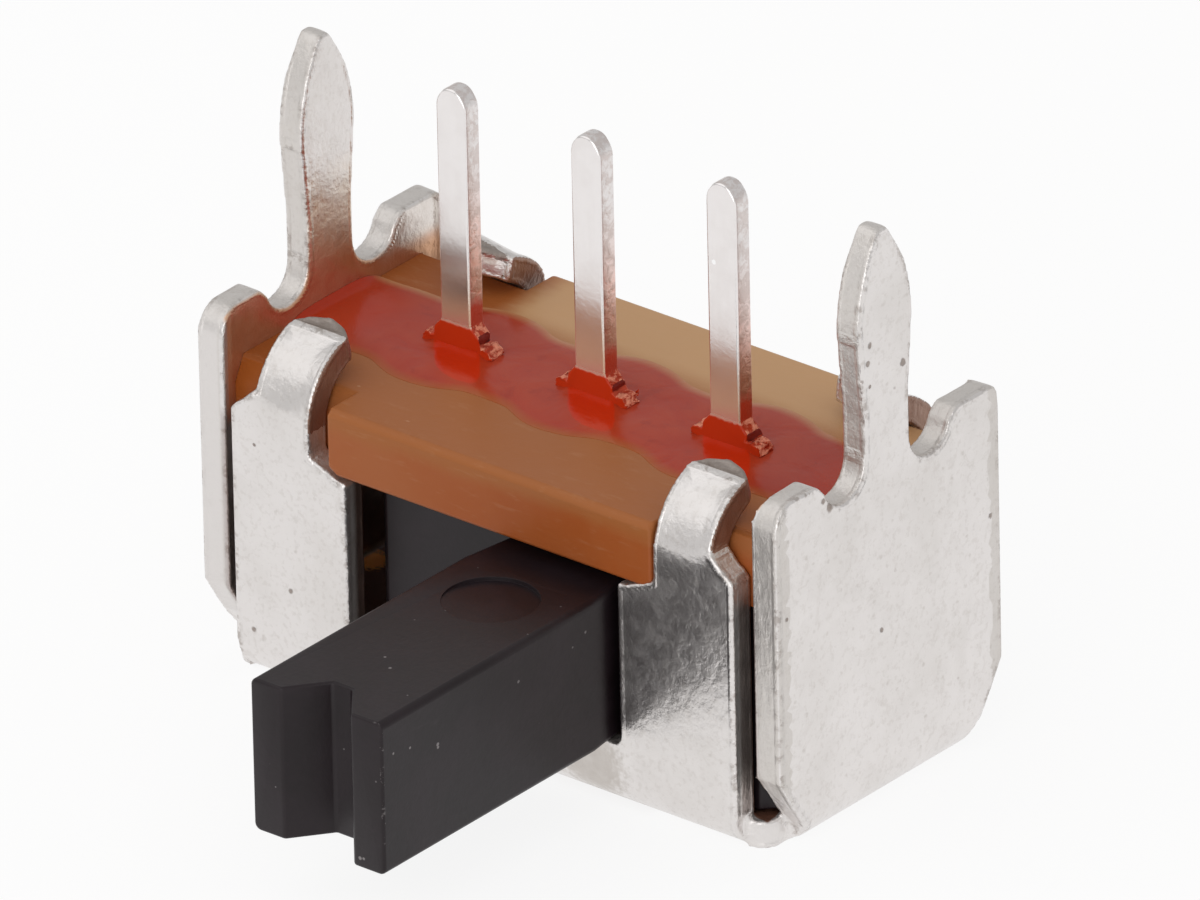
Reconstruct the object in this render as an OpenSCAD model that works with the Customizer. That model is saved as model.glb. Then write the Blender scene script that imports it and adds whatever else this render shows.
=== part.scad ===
// Miniature right-angle slide switch: one pole, two positions.
// The origin is the middle of the flat floor of the steel can. +Z points up, along the terminals
// and the mounting legs. +X runs along the terminal row. The knob points to -Y.
// The slider is drawn at its +X stop.

/* [Can] */
// Length of the can, over the outer faces of the side walls
can_length = 8.6; // [7.8:0.1:10.4]
// Depth of the can, over the outer faces of the front and back walls
can_depth = 4.3; // [4:0.1:5.4]
// Thickness of the plated steel sheet
sheet = 0.35; // [0.28:0.01:0.4]
// Outer radius of the folds between the floor and the walls
fold_radius = 0.45; // [0.42:0.01:0.55]
// How much shallower a side wall is than the can, front and back together
side_wall_inset = 0.24; // [0.16:0.02:0.4]
// Height of the shoulders of a side wall above the top of the base
shoulder_rise = 0.68; // [0.5:0.01:1]
// Gap between a long wall's edge and the inner face of the side wall
corner_slit = 0.25; // [0.15:0.01:0.4]
// Radius of the round notches at the root of a leg
notch_radius = 0.37; // [0.25:0.01:0.42]

/* [Window] */
// Gap between the underside of the knob and the window's lower edge
sill_clearance = 0.04; // [0.02:0.01:0.15]
// Gap between the knob and the window's side at the end of the travel
window_clearance = 0.05; // [0.02:0.005:0.1]

/* [Mounting legs] */
// Length of the legs above the top of the base
leg_length = 3.48; // [2.9:0.02:5]
// Width of a leg at its widest place
leg_width = 0.98; // [0.9:0.01:1.1]
// Width of a leg at its neck
leg_neck_width = 0.8; // [0.6:0.01:0.86]
// Radius of the curved flanks of the leg's point
leg_flank_radius = 2.1; // [1.6:0.05:3]

/* [Clinch tabs] */
// Width of a tab
tab_width = 0.83; // [0.7:0.01:0.9]
// Distance of a tab's outer edge from the end of its wall
tab_setback = 0.32; // [0.25:0.01:0.4]
// Depth below the top of the base where a tab starts to curve inwards
tab_drop = 0.42; // [0.4:0.01:0.45]
// Outer radius of a tab's curve
tab_bend_radius = 1; // [0.98:0.01:1.05]
// How far the tab is curved, in degrees
tab_bend_angle = 75; // [60:1:78]
// Length of the flat tip that the clinching tool pressed
tab_tip_length = 0.22; // [0.15:0.01:0.3]

/* [Terminal base] */
// Height of the base's underside above the floor's outer face
base_bottom = 3.04; // [2.95:0.01:3.7]
// Thickness of the base
base_thickness = 0.83; // [0.7:0.01:1]
// Clearance between the base and the can
base_clearance = 0.02; // [0.01:0.01:0.04]
// Clearance between a lug of the base and the tab beside it
lug_gap = 0.28; // [0.15:0.01:0.35]

/* [Sealing resin] */
// Width of the resin band between the terminals
resin_width = 1.5; // [1.1:0.05:1.7]
// Radius of the swelling of the band round each terminal
resin_swell_radius = 0.96; // [0.8:0.02:1.05]
// Depth of the groove that the resin fills
resin_groove = 0.12; // [0.05:0.01:0.2]
// Height of the resin above the base
resin_crown = 0.03; // [0.01:0.01:0.06]

/* [Terminals] */
// Distance between neighbouring terminals
pitch = 2; // [1.9:0.05:2.2]
// Length of the pins above the top of the base
pin_length = 3.38; // [2.7:0.02:5]
// Width of a pin, along the row
pin_width = 0.45; // [0.4:0.01:0.55]
// Thickness of the terminal sheet
pin_thickness = 0.25; // [0.2:0.01:0.3]
// Width of the wider foot above the base
foot_width = 0.66; // [0.6:0.01:0.8]
// Height of the foot above the base
foot_height = 0.37; // [0.25:0.01:0.5]
// Width over the staked barbs that hold a terminal down
barb_width = 1.06; // [0.95:0.01:1.2]
// Width of a contact blade
blade_width = 1.5; // [1.3:0.05:1.6]
// Height of the blades' lower edges above the floor's outer face
blade_bottom = 1.35; // [1.25:0.05:1.6]

/* [Slider] */
// Full travel of the slider, from stop to stop
travel = 2; // [1.6:0.05:2.5]
// Gap left between the slider's end and the side wall at the end of the travel
end_clearance = 0.04; // [0.02:0.01:0.1]
// Clearance of the slider to the walls, the floor, the base and the blades
slide_clearance = 0.06; // [0.04:0.01:0.1]
// Width of the knob, along the travel
knob_width = 1.94; // [1.55:0.01:2]
// Height of the knob
knob_height = 1.95; // [1.56:0.01:2]
// Height of the knob's lower face above the floor's outer face
knob_bottom = 0.9; // [0.86:0.01:1]
// How far the knob stands out in front of the can
knob_reach = 4.15; // [2.5:0.05:6]
// Radius of the knob's edges
knob_edge = 0.09; // [0.05:0.01:0.2]
// Width of the mouth of the groove in the knob's tip
groove_mouth = 1.03; // [0.8:0.01:1.2]
// Width of the bottom of the groove in the knob's tip
groove_bottom = 0.28; // [0.15:0.01:0.5]
// Depth of the groove in the knob's tip
groove_depth = 0.48; // [0.3:0.01:0.6]
// Diameter of the shallow ejector mark on top of the knob
ejector_mark = 1.15; // [0.8:0.05:1.5]
// Depth of the ejector mark
ejector_depth = 0.05; // [0.02:0.01:0.1]
// Distance of the ejector mark's middle from the front of the can
ejector_distance = 1.02; // [0.8:0.01:1.2]

/* [Moving contact] */
// Length of the clip, along the travel
clip_length = 2.6; // [2.4:0.05:2.8]
// Thickness of the clip's strip
clip_sheet = 0.12; // [0.08:0.01:0.14]
// Gap between the clip's arms and the faces of the blades
clip_gap = 0.07; // [0.06:0.005:0.08]
// Gap left between the clip's dimples and the faces of the blades
dimple_clearance = 0.012; // [0.01:0.001:0.02]

/* [Hidden] */
$fn = 64;

// Depth by which a cutting shape stands clear of what it cuts
cut = 0.5;
// Depth by which two shapes of one piece run into each other
lap = 0.05;

base_top = base_bottom + base_thickness;
side_outer = can_length / 2;
side_inner = side_outer - sheet;
side_half = (can_depth - side_wall_inset) / 2;
wall_outer = can_depth / 2;
wall_inner = wall_outer - sheet;
wall_half = side_inner - corner_slit;
fold_inner_radius = fold_radius - sheet;
shoulder_height = base_top + shoulder_rise;

// The cut-away lower corners of a side wall: each pair is the distance from the wall's
// edge and the height above the floor's outer face.
side_cuts = [[0, 1.02], [0.24, 0.62], [0.53, 0.2], [0.53, -cut]];
hump_front_corner = 0.36;
hump_rear_corner = 0.16;
hump_inner_corner = 0.22;
notch_centre = leg_neck_width / 2 + notch_radius + 0.01;

// The small flap of floor at each corner of the can: how far it reaches past the end of the
// long wall, how far it stays behind the wall's outer face, and the radius of its corner.
flap_reach = 0.28;
flap_setback = 0.23;
flap_radius = 0.25;

leg_tip_height = base_top + leg_length;
leg_neck_top = base_top + 1.18;
leg_tip_radius = 0.15;

tab_outer = wall_half - tab_setback;
tab_inner = tab_outer - tab_width;
tab_bend_height = base_top - tab_drop;
tab_end_radius = (pow(tab_width / 2, 2) + pow(tab_tip_length, 2)) / (2 * tab_tip_length);
inner_shoulder = [base_bottom - 0.07, base_bottom + 0.1];
inner_shoulder_width = 0.43;
outer_shoulder = [base_top - 0.14, base_top - 0.3];
outer_shoulder_corner = 0.15;

slider_length = 2 * side_inner - travel - 2 * end_clearance;
slider_half_depth = wall_inner - slide_clearance;
slider_bottom = sheet + slide_clearance;
slider_top = base_bottom - slide_clearance;
slider_corner = 0.15;
rest_shift = travel / 2;
window_half = (knob_width + travel) / 2 + window_clearance;
window_sill = knob_bottom - sill_clearance;
window_corner = knob_edge + window_clearance / 2;

base_half_length = side_inner - base_clearance;
base_half_depth = wall_inner - base_clearance;
lug_half = tab_inner - lug_gap;
lug_corner = [0.12, 0.08];
// Chamfer of the lugs' outer top edges
lug_edge = 0.06;
// Chamfer of the base's long top edges, inside the curve of the tabs
base_chamfer = [0.16, 0.31];

slot_gap = 0.015;
barb_low = base_top - 0.04;
barb_high = base_top + 0.08;
tip_chamfer = [0.13, 0.17];
blade_corner = 0.2;

pocket_gap = 0.04;
pocket_floor = 0.92;
blade_slot = pin_thickness / 2 + slide_clearance;
blade_slot_floor = blade_bottom - 0.1;
clip_outer = pin_thickness / 2 + clip_gap + clip_sheet;
clip_bend = 0.22;
clip_top = base_bottom - 0.32;
clip_flare = [0.1, 0.28];
dimple_radius = 0.32;
dimple_height = 1.9;
dimple_spacing = 0.95;

// Points of a round corner: centre, radius, and the angles where it starts and ends.
function arc(centre, r, from, to, steps = 8) =
    [for (i = [0 : steps]) let (a = from + (to - from) * i / steps)
        [centre[0] + r * cos(a), centre[1] + r * sin(a)]];

// The other half of an outline that is the same on both sides of its middle line.
function mirrored(points) = [for (i = [len(points) - 1 : -1 : 0]) [-points[i][0], points[i][1]]];

// Runs an outline drawn in X and Z through a thickness along Y.
module through_y(from, to) {
    translate([0, to, 0]) rotate([90, 0, 0]) linear_extrude(height = to - from) children();
}

// Runs an outline drawn in Y and Z through a thickness along X.
module through_x(from, to) {
    translate([from, 0, 0]) rotate([90, 0, 90]) linear_extrude(height = to - from) children();
}

module both_ends() {
    children();
    mirror([1, 0, 0]) children();
}

module both_sides() {
    children();
    mirror([0, 1, 0]) children();
}

module symmetric_polygon(half) {
    polygon(concat(half, mirrored(half)));
}

// ---------------------------------------------------------------- can

// A quarter of a tube, which is the fold between the floor and a wall.
// It runs along X from -half to half, and curves up towards -Y.
module fold(half) {
    difference() {
        translate([-half, 0, 0]) rotate([0, 90, 0]) cylinder(r = fold_radius, h = 2 * half);
        translate([-half - cut, 0, 0])
            rotate([0, 90, 0]) cylinder(r = fold_inner_radius, h = 2 * half + 2 * cut);
        translate([-half - cut, 0, -fold_radius - cut])
            cube([2 * half + 2 * cut, fold_radius + cut, 2 * fold_radius + 2 * cut]);
        translate([-half - cut, -fold_radius - cut, 0])
            cube([2 * half + 2 * cut, fold_radius + 2 * cut, fold_radius + cut]);
    }
}

module floor_corner() {
    x = wall_half + flap_reach;
    y = wall_outer - flap_setback;
    x_flat = min(side_outer - fold_radius, wall_half) - lap;
    y_flat = wall_outer - fold_radius - lap;
    y_cut = side_half - side_cuts[2][0] - lap;
    linear_extrude(height = sheet) polygon(concat(
        [[x_flat, y_cut], [x, y_cut]],
        arc([x - flap_radius, y - flap_radius], flap_radius, 0, 90),
        [[wall_half, y], [wall_half, y_flat], [x_flat, y_flat]]));
}

module floor_plate() {
    x = side_outer - fold_radius;
    y = wall_outer - fold_radius;
    translate([-x, -y, 0]) cube([2 * x, 2 * y, sheet]);
    both_ends() both_sides() floor_corner();
}

// The front or back wall: sloping shoulders under the base's lug, the roots of the two tabs,
// and a sloping ear outside each tab.
module wall_outline() {
    symmetric_polygon(concat(
        [[0, inner_shoulder[0]], [tab_inner - inner_shoulder_width, inner_shoulder[0]],
         [tab_inner, inner_shoulder[1]], [tab_inner, tab_bend_height],
         [tab_outer, tab_bend_height], [tab_outer, outer_shoulder[0]],
         [tab_outer + 0.04, outer_shoulder[0]]],
        arc([wall_half - outer_shoulder_corner, outer_shoulder[1] - outer_shoulder_corner],
            outer_shoulder_corner, 75, 0),
        [[wall_half, fold_radius]]));
}

// One clinch tab: the curve inwards, and the flat tip with its round end.
// It is drawn about the axis of its curve, then turned so that it rises from the front wall.
module clinch_tab() {
    inner_radius = tab_bend_radius - sheet;
    translate([tab_outer, -wall_outer + tab_bend_radius, tab_bend_height])
        rotate([90, 0, -90]) {
            rotate_extrude(angle = tab_bend_angle)
                translate([inner_radius, 0]) square([sheet, tab_width]);
            rotate([0, 0, tab_bend_angle]) intersection() {
                translate([inner_radius, -lap, 0]) cube([sheet, tab_tip_length + lap, tab_width]);
                translate([inner_radius - cut, tab_tip_length - tab_end_radius, tab_width / 2])
                    rotate([0, 90, 0]) cylinder(r = tab_end_radius, h = sheet + 2 * cut);
            }
        }
}

// The front or back wall with its fold and its two tabs.
module long_wall() {
    translate([0, -wall_outer + fold_radius, fold_radius]) fold(wall_half);
    through_y(-wall_outer, -wall_inner) wall_outline();
    both_ends() clinch_tab();
}

module window() {
    through_y(-wall_outer - cut, -wall_inner + cut) polygon(concat(
        [[window_half, base_bottom + cut], [-window_half, base_bottom + cut]],
        arc([-window_half + window_corner, window_sill + window_corner], window_corner, 180, 270),
        arc([window_half - window_corner, window_sill + window_corner], window_corner, 270, 360)));
}

// Half of a side wall's outline: a round notch beside the leg, a hump, and a cut-away lower corner.
function side_half_outline(corner) = concat(
    [[0, shoulder_height], [notch_centre - notch_radius, shoulder_height]],
    arc([notch_centre, shoulder_height - 0.05], notch_radius, 180, 345, 12),
    arc([notch_centre + notch_radius + hump_inner_corner, shoulder_height - hump_inner_corner],
        hump_inner_corner, 150, 90, 5),
    arc([side_half - corner, shoulder_height - corner], corner, 90, 0),
    [for (p = side_cuts) [side_half - p[0], p[1]]]);

// A side wall, whose front hump has the rounder corner.
module side_outline() {
    polygon(concat(side_half_outline(hump_rear_corner), mirrored(side_half_outline(hump_front_corner))));
}

// The spear-shaped leg: a neck that widens, and a point with curved flanks.
module leg_outline() {
    flank_centre = leg_flank_radius - leg_width / 2;
    small = leg_flank_radius - leg_tip_radius;
    tip_centre = leg_tip_height - leg_tip_radius;
    widest = tip_centre - sqrt(small * small - flank_centre * flank_centre);
    tangent = widest + (tip_centre - widest) * leg_flank_radius / small;
    symmetric_polygon([
        [leg_width / 2, widest], [leg_neck_width / 2, leg_neck_top],
        [leg_neck_width / 2, shoulder_height - lap]]);
    intersection() {
        translate([-flank_centre, widest]) circle(r = leg_flank_radius, $fn = 128);
        translate([flank_centre, widest]) circle(r = leg_flank_radius, $fn = 128);
        translate([-leg_width, widest - lap]) square([2 * leg_width, tangent - widest + lap]);
    }
    translate([0, tip_centre]) circle(r = leg_tip_radius, $fn = 48);
}

// One side wall with its fold and its leg.
module side_wall() {
    intersection() {
        union() {
            translate([side_outer - fold_radius, 0, fold_radius]) rotate([0, 0, 90]) fold(side_half);
            translate([side_inner, -side_half, fold_radius])
                cube([sheet, 2 * side_half, shoulder_height - fold_radius]);
        }
        through_x(side_outer - 2 * fold_radius, side_outer + cut) side_outline();
    }
    through_x(side_inner, side_outer) leg_outline();
}

module frame() {
    color("gainsboro") {
        floor_plate();
        both_ends() side_wall();
        difference() {
            long_wall();
            window();
        }
        mirror([0, 1, 0]) long_wall();
    }
}

// ---------------------------------------------------------------- base and seal

module resin_outline() {
    intersection() {
        union() {
            square([2 * base_half_length, resin_width], center = true);
            for (i = [-1 : 1]) translate([i * pitch, 0]) circle(r = resin_swell_radius);
        }
        square([2 * base_half_length, can_depth], center = true);
    }
}

// The through slot for one terminal's foot.
module terminal_slot() {
    width = foot_width + 2 * slot_gap;
    depth = pin_thickness + 2 * slot_gap;
    translate([-width / 2, -depth / 2, base_bottom - cut]) cube([width, depth, base_thickness + 2 * cut]);
}

// The lug that fills the top of a long wall between its two tabs. Its lower corners are
// chamfered to sit on the shoulders of the wall.
module base_lug() {
    low = base_bottom + base_clearance / 2;
    root = -base_half_depth + base_chamfer[0] + lap;
    intersection() {
        through_y(-wall_outer, root)
            symmetric_polygon([[lug_half, base_top], [lug_half, low + lug_corner[1]],
                               [lug_half - lug_corner[0], low]]);
        through_x(-lug_half, lug_half) polygon([
            [root, base_top], [-wall_outer + lug_edge, base_top],
            [-wall_outer, base_top - lug_edge], [-wall_outer, low], [root, low]]);
    }
}

module base_block() {
    y = base_half_depth;
    through_x(-base_half_length, base_half_length) symmetric_polygon([
        [y - base_chamfer[0], base_top], [y, base_top - base_chamfer[1]], [y, base_bottom]]);
    both_sides() base_lug();
}

module terminal_base() {
    color("peru") difference() {
        base_block();
        translate([0, 0, base_top - resin_groove]) linear_extrude(height = resin_groove + cut)
            resin_outline();
        for (i = [-1 : 1]) translate([i * pitch, 0, 0]) terminal_slot();
    }
}

module resin_seal() {
    color("firebrick") difference() {
        translate([0, 0, base_top - resin_groove])
            linear_extrude(height = resin_groove + resin_crown) resin_outline();
        for (i = [-1 : 1]) translate([i * pitch, 0, 0]) terminal_blank();
    }
}

// ---------------------------------------------------------------- terminals

// One flat stamping: the pin, its wider foot, the staked barbs and the contact blade.
module terminal_blank() {
    pin_top = base_top + pin_length;
    through_y(-pin_thickness / 2, pin_thickness / 2) symmetric_polygon([
        [pin_width / 2 - tip_chamfer[0], pin_top],
        [pin_width / 2, pin_top - tip_chamfer[1]],
        [pin_width / 2, base_top + foot_height],
        [foot_width / 2, base_top + foot_height - 0.12],
        [foot_width / 2, barb_high + 0.03],
        [barb_width / 2 - 0.05, barb_high],
        [barb_width / 2, barb_low + 0.02],
        [foot_width / 2, barb_low],
        [foot_width / 2, base_bottom],
        [blade_width / 2, base_bottom],
        [blade_width / 2, blade_bottom + blade_corner],
        [blade_width / 2 - blade_corner, blade_bottom]]);
}

module terminal(position) {
    color("silver") translate([position * pitch, 0, 0]) terminal_blank();
}

module terminal_left() { terminal(-1); }

module terminal_common() { terminal(0); }

module terminal_right() { terminal(1); }

// ---------------------------------------------------------------- slider and its clip

// The knob: a bar with round edges, a groove in its tip and an ejector mark on top.
module knob() {
    half = knob_width / 2 - knob_edge;
    low = knob_bottom + knob_edge;
    high = knob_bottom + knob_height - knob_edge;
    tip = -wall_outer - knob_reach;
    difference() {
        through_y(tip, -slider_half_depth + lap) polygon(concat(
            arc([half, high], knob_edge, 0, 90), arc([-half, high], knob_edge, 90, 180),
            arc([-half, low], knob_edge, 180, 270), arc([half, low], knob_edge, 270, 360)));
        translate([0, 0, knob_bottom - cut]) linear_extrude(height = knob_height + 2 * cut)
            symmetric_polygon([[groove_mouth / 2, tip - cut], [groove_mouth / 2, tip],
                               [groove_bottom / 2, tip + groove_depth]]);
        translate([0, -wall_outer - ejector_distance, knob_bottom + knob_height - ejector_depth])
            cylinder(d = ejector_mark, h = cut);
    }
}

// The body: a block with a long slot for the blades and a pocket for the clip.
module slider_body() {
    half = slider_length / 2;
    depth = slider_half_depth;
    corner = slider_corner;
    pocket_half = clip_outer + clip_flare[0] + pocket_gap;
    difference() {
        translate([0, 0, slider_bottom]) linear_extrude(height = slider_top - slider_bottom)
            symmetric_polygon([[half - corner, -depth], [half, -depth + corner],
                               [half, depth - corner], [half - corner, depth]]);
        translate([-half - cut, -blade_slot, blade_slot_floor])
            cube([slider_length + 2 * cut, 2 * blade_slot, slider_top]);
        translate([-clip_length / 2 - pocket_gap, -pocket_half, pocket_floor])
            cube([clip_length + 2 * pocket_gap, 2 * pocket_half, slider_top]);
    }
}

module slider() {
    color("dimgray") translate([rest_shift, 0, 0]) {
        slider_body();
        knob();
    }
}

// The clip in section: a flat bottom, two bends, and two arms with flared tops.
module clip_section() {
    inner = clip_outer - clip_sheet;
    bend_centre = clip_outer - clip_bend;
    bend_top = pocket_floor + clip_bend;
    flare_foot = clip_top - clip_flare[1];
    for (side = [-1, 1]) {
        polygon([[side * inner, bend_top], [side * clip_outer, bend_top],
                 [side * clip_outer, flare_foot], [side * (clip_outer + clip_flare[0]), clip_top],
                 [side * (inner + clip_flare[0]), clip_top], [side * inner, flare_foot]]);
        difference() {
            translate([side * bend_centre, bend_top]) circle(r = clip_bend);
            translate([side * bend_centre, bend_top]) circle(r = clip_bend - clip_sheet);
            translate([-clip_outer, bend_top]) square([2 * clip_outer, clip_bend]);
            translate([side * bend_centre - (1 + side) * clip_bend / 2, pocket_floor])
                square([clip_bend, clip_bend]);
        }
    }
    translate([-bend_centre - lap / 5, pocket_floor]) square([2 * bend_centre + lap / 2.5, clip_sheet]);
}

// The inward dimples of one arm: a detent in the middle and a contact point near each end.
module dimples() {
    inner = clip_outer - clip_sheet;
    peak = pin_thickness / 2 + dimple_clearance;
    for (x = [-dimple_spacing, 0, dimple_spacing])
        intersection() {
            translate([x, peak + dimple_radius, dimple_height]) sphere(r = dimple_radius);
            translate([x - dimple_radius, 0, dimple_height - dimple_radius])
                cube([2 * dimple_radius, inner + lap, 2 * dimple_radius]);
        }
}

module moving_contact() {
    color("goldenrod") translate([rest_shift, 0, 0]) {
        through_x(-clip_length / 2, clip_length / 2) clip_section();
        both_sides() dimples();
    }
}

frame();
terminal_base();
resin_seal();
terminal_left();
terminal_common();
terminal_right();
slider();
moving_contact();
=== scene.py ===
"""A miniature right-angle slide switch, finished for show.

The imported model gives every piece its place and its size. Each sub-assembly below takes its
stamped or moulded blank from it, works the fine shape into a copy with mesh operators, and
dresses the copy in a finish whose colour, gloss and surface all come from shader nodes. Sizes
and places are in millimetres and angles in degrees, with X along the terminal row, Y from
front to back and Z up.
"""

import logging
import math
from contextlib import contextmanager
from dataclasses import dataclass, field
from enum import Enum
from functools import cached_property
from typing import Any, Callable, Iterator, Protocol

import bpy
from mathutils import Matrix, Vector, noise
from mathutils.kdtree import KDTree


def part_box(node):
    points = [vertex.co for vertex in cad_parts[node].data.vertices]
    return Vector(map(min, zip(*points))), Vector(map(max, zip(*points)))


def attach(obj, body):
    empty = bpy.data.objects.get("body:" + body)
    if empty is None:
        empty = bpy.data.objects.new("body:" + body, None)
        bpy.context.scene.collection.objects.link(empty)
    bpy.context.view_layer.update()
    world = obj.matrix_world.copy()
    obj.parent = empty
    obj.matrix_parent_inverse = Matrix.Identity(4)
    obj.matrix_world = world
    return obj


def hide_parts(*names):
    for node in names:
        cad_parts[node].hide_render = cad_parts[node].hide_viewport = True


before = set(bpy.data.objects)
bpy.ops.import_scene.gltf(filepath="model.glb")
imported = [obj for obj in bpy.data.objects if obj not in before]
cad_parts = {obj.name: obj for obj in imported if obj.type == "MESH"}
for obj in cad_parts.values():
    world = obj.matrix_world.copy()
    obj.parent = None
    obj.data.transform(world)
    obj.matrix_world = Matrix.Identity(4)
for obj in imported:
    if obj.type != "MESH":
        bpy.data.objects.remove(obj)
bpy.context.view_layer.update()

log = logging.getLogger("slide_switch")

Point = tuple[float, float, float]
Colour = tuple[float, float, float]
Span = tuple[float, float]
Spot = tuple[Point, float]
Share = Callable[[Vector], float]
FaceTest = Callable[[bpy.types.MeshPolygon], bool]
EdgeTest = Callable[[Vector, Vector], bool]

MM = 0.001
HAIR = 0.01  # two places that are nearer than this count as one
CREASE = 32.0  # an edge that turns by less than this stays smooth
PITCH = 2.0  # from one terminal to the next
ROW = (-1, 0, 1)  # the terminals' places, counted in pitches
EVEN: Point = (1.0, 1.0, 1.0)
WHITE: Colour = (1.0, 1.0, 1.0)


class Body(Enum):
    """The two bodies that the switch is made of."""

    HOUSING = "housing"
    SLIDER = "slider"


class Place(Enum):
    """The three terminals of the row, from -X to +X."""

    LEFT = "terminal_left"
    COMMON = "terminal_common"
    RIGHT = "terminal_right"


# ------------------------------------------------------------------ shader nodes


class Value:
    """A number that varies over a surface, which can be used in arithmetic.

    Every operator adds the Math node that works it out.
    """

    def __init__(self, graph: "Graph", socket: bpy.types.NodeSocket) -> None:
        """Wraps one output socket of a graph."""
        self.graph = graph
        self.socket = socket

    def _math(self, operation: str, *others: "Value | float",
              first: "Value | float | None" = None) -> "Value":
        """Adds one Math node.

        Args:
            operation: The node's operation.
            *others: What follows this value in the sum.
            first: What stands before it instead, in a reflected operator.

        Returns:
            The node's result.
        """
        terms = (self, *others) if first is None else (first, self)
        made = self.graph.node("ShaderNodeMath", {"operation": operation},
                               **{str(place): term for place, term in enumerate(terms)})
        return Value(self.graph, made.outputs[0])

    def __add__(self, other: "Value | float") -> "Value":
        """Adds."""
        return self._math("ADD", other)

    __radd__ = __add__

    def __sub__(self, other: "Value | float") -> "Value":
        """Takes away."""
        return self._math("SUBTRACT", other)

    def __rsub__(self, other: float) -> "Value":
        """Takes this value away from a number."""
        return self._math("SUBTRACT", first=other)

    def __mul__(self, other: "Value | float") -> "Value":
        """Multiplies."""
        return self._math("MULTIPLY", other)

    __rmul__ = __mul__

    def __truediv__(self, other: "Value | float") -> "Value":
        """Divides."""
        return self._math("DIVIDE", other)

    def __pow__(self, other: float) -> "Value":
        """Raises to a power."""
        return self._math("POWER", other)

    def __abs__(self) -> "Value":
        """Drops the sign."""
        return self._math("ABSOLUTE")

    def least(self, other: "Value | float") -> "Value":
        """The smaller of the two."""
        return self._math("MINIMUM", other)

    def most(self, other: "Value | float") -> "Value":
        """The larger of the two."""
        return self._math("MAXIMUM", other)

    def rise(self, start: float, end: float) -> "Value":
        """A smooth step.

        Args:
            start: Where the step is still 0.
            end: Where it has reached 1; it may be below start.

        Returns:
            The step, from 0 to 1.
        """
        flip = end < start
        low, high = (end, start) if flip else (start, end)
        made = self.graph.node("ShaderNodeMapRange", {"interpolation_type": "SMOOTHSTEP"},
                               **{"Value": self, "From Min": low, "From Max": high})
        step = Value(self.graph, made.outputs["Result"])
        return 1.0 - step if flip else step


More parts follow.
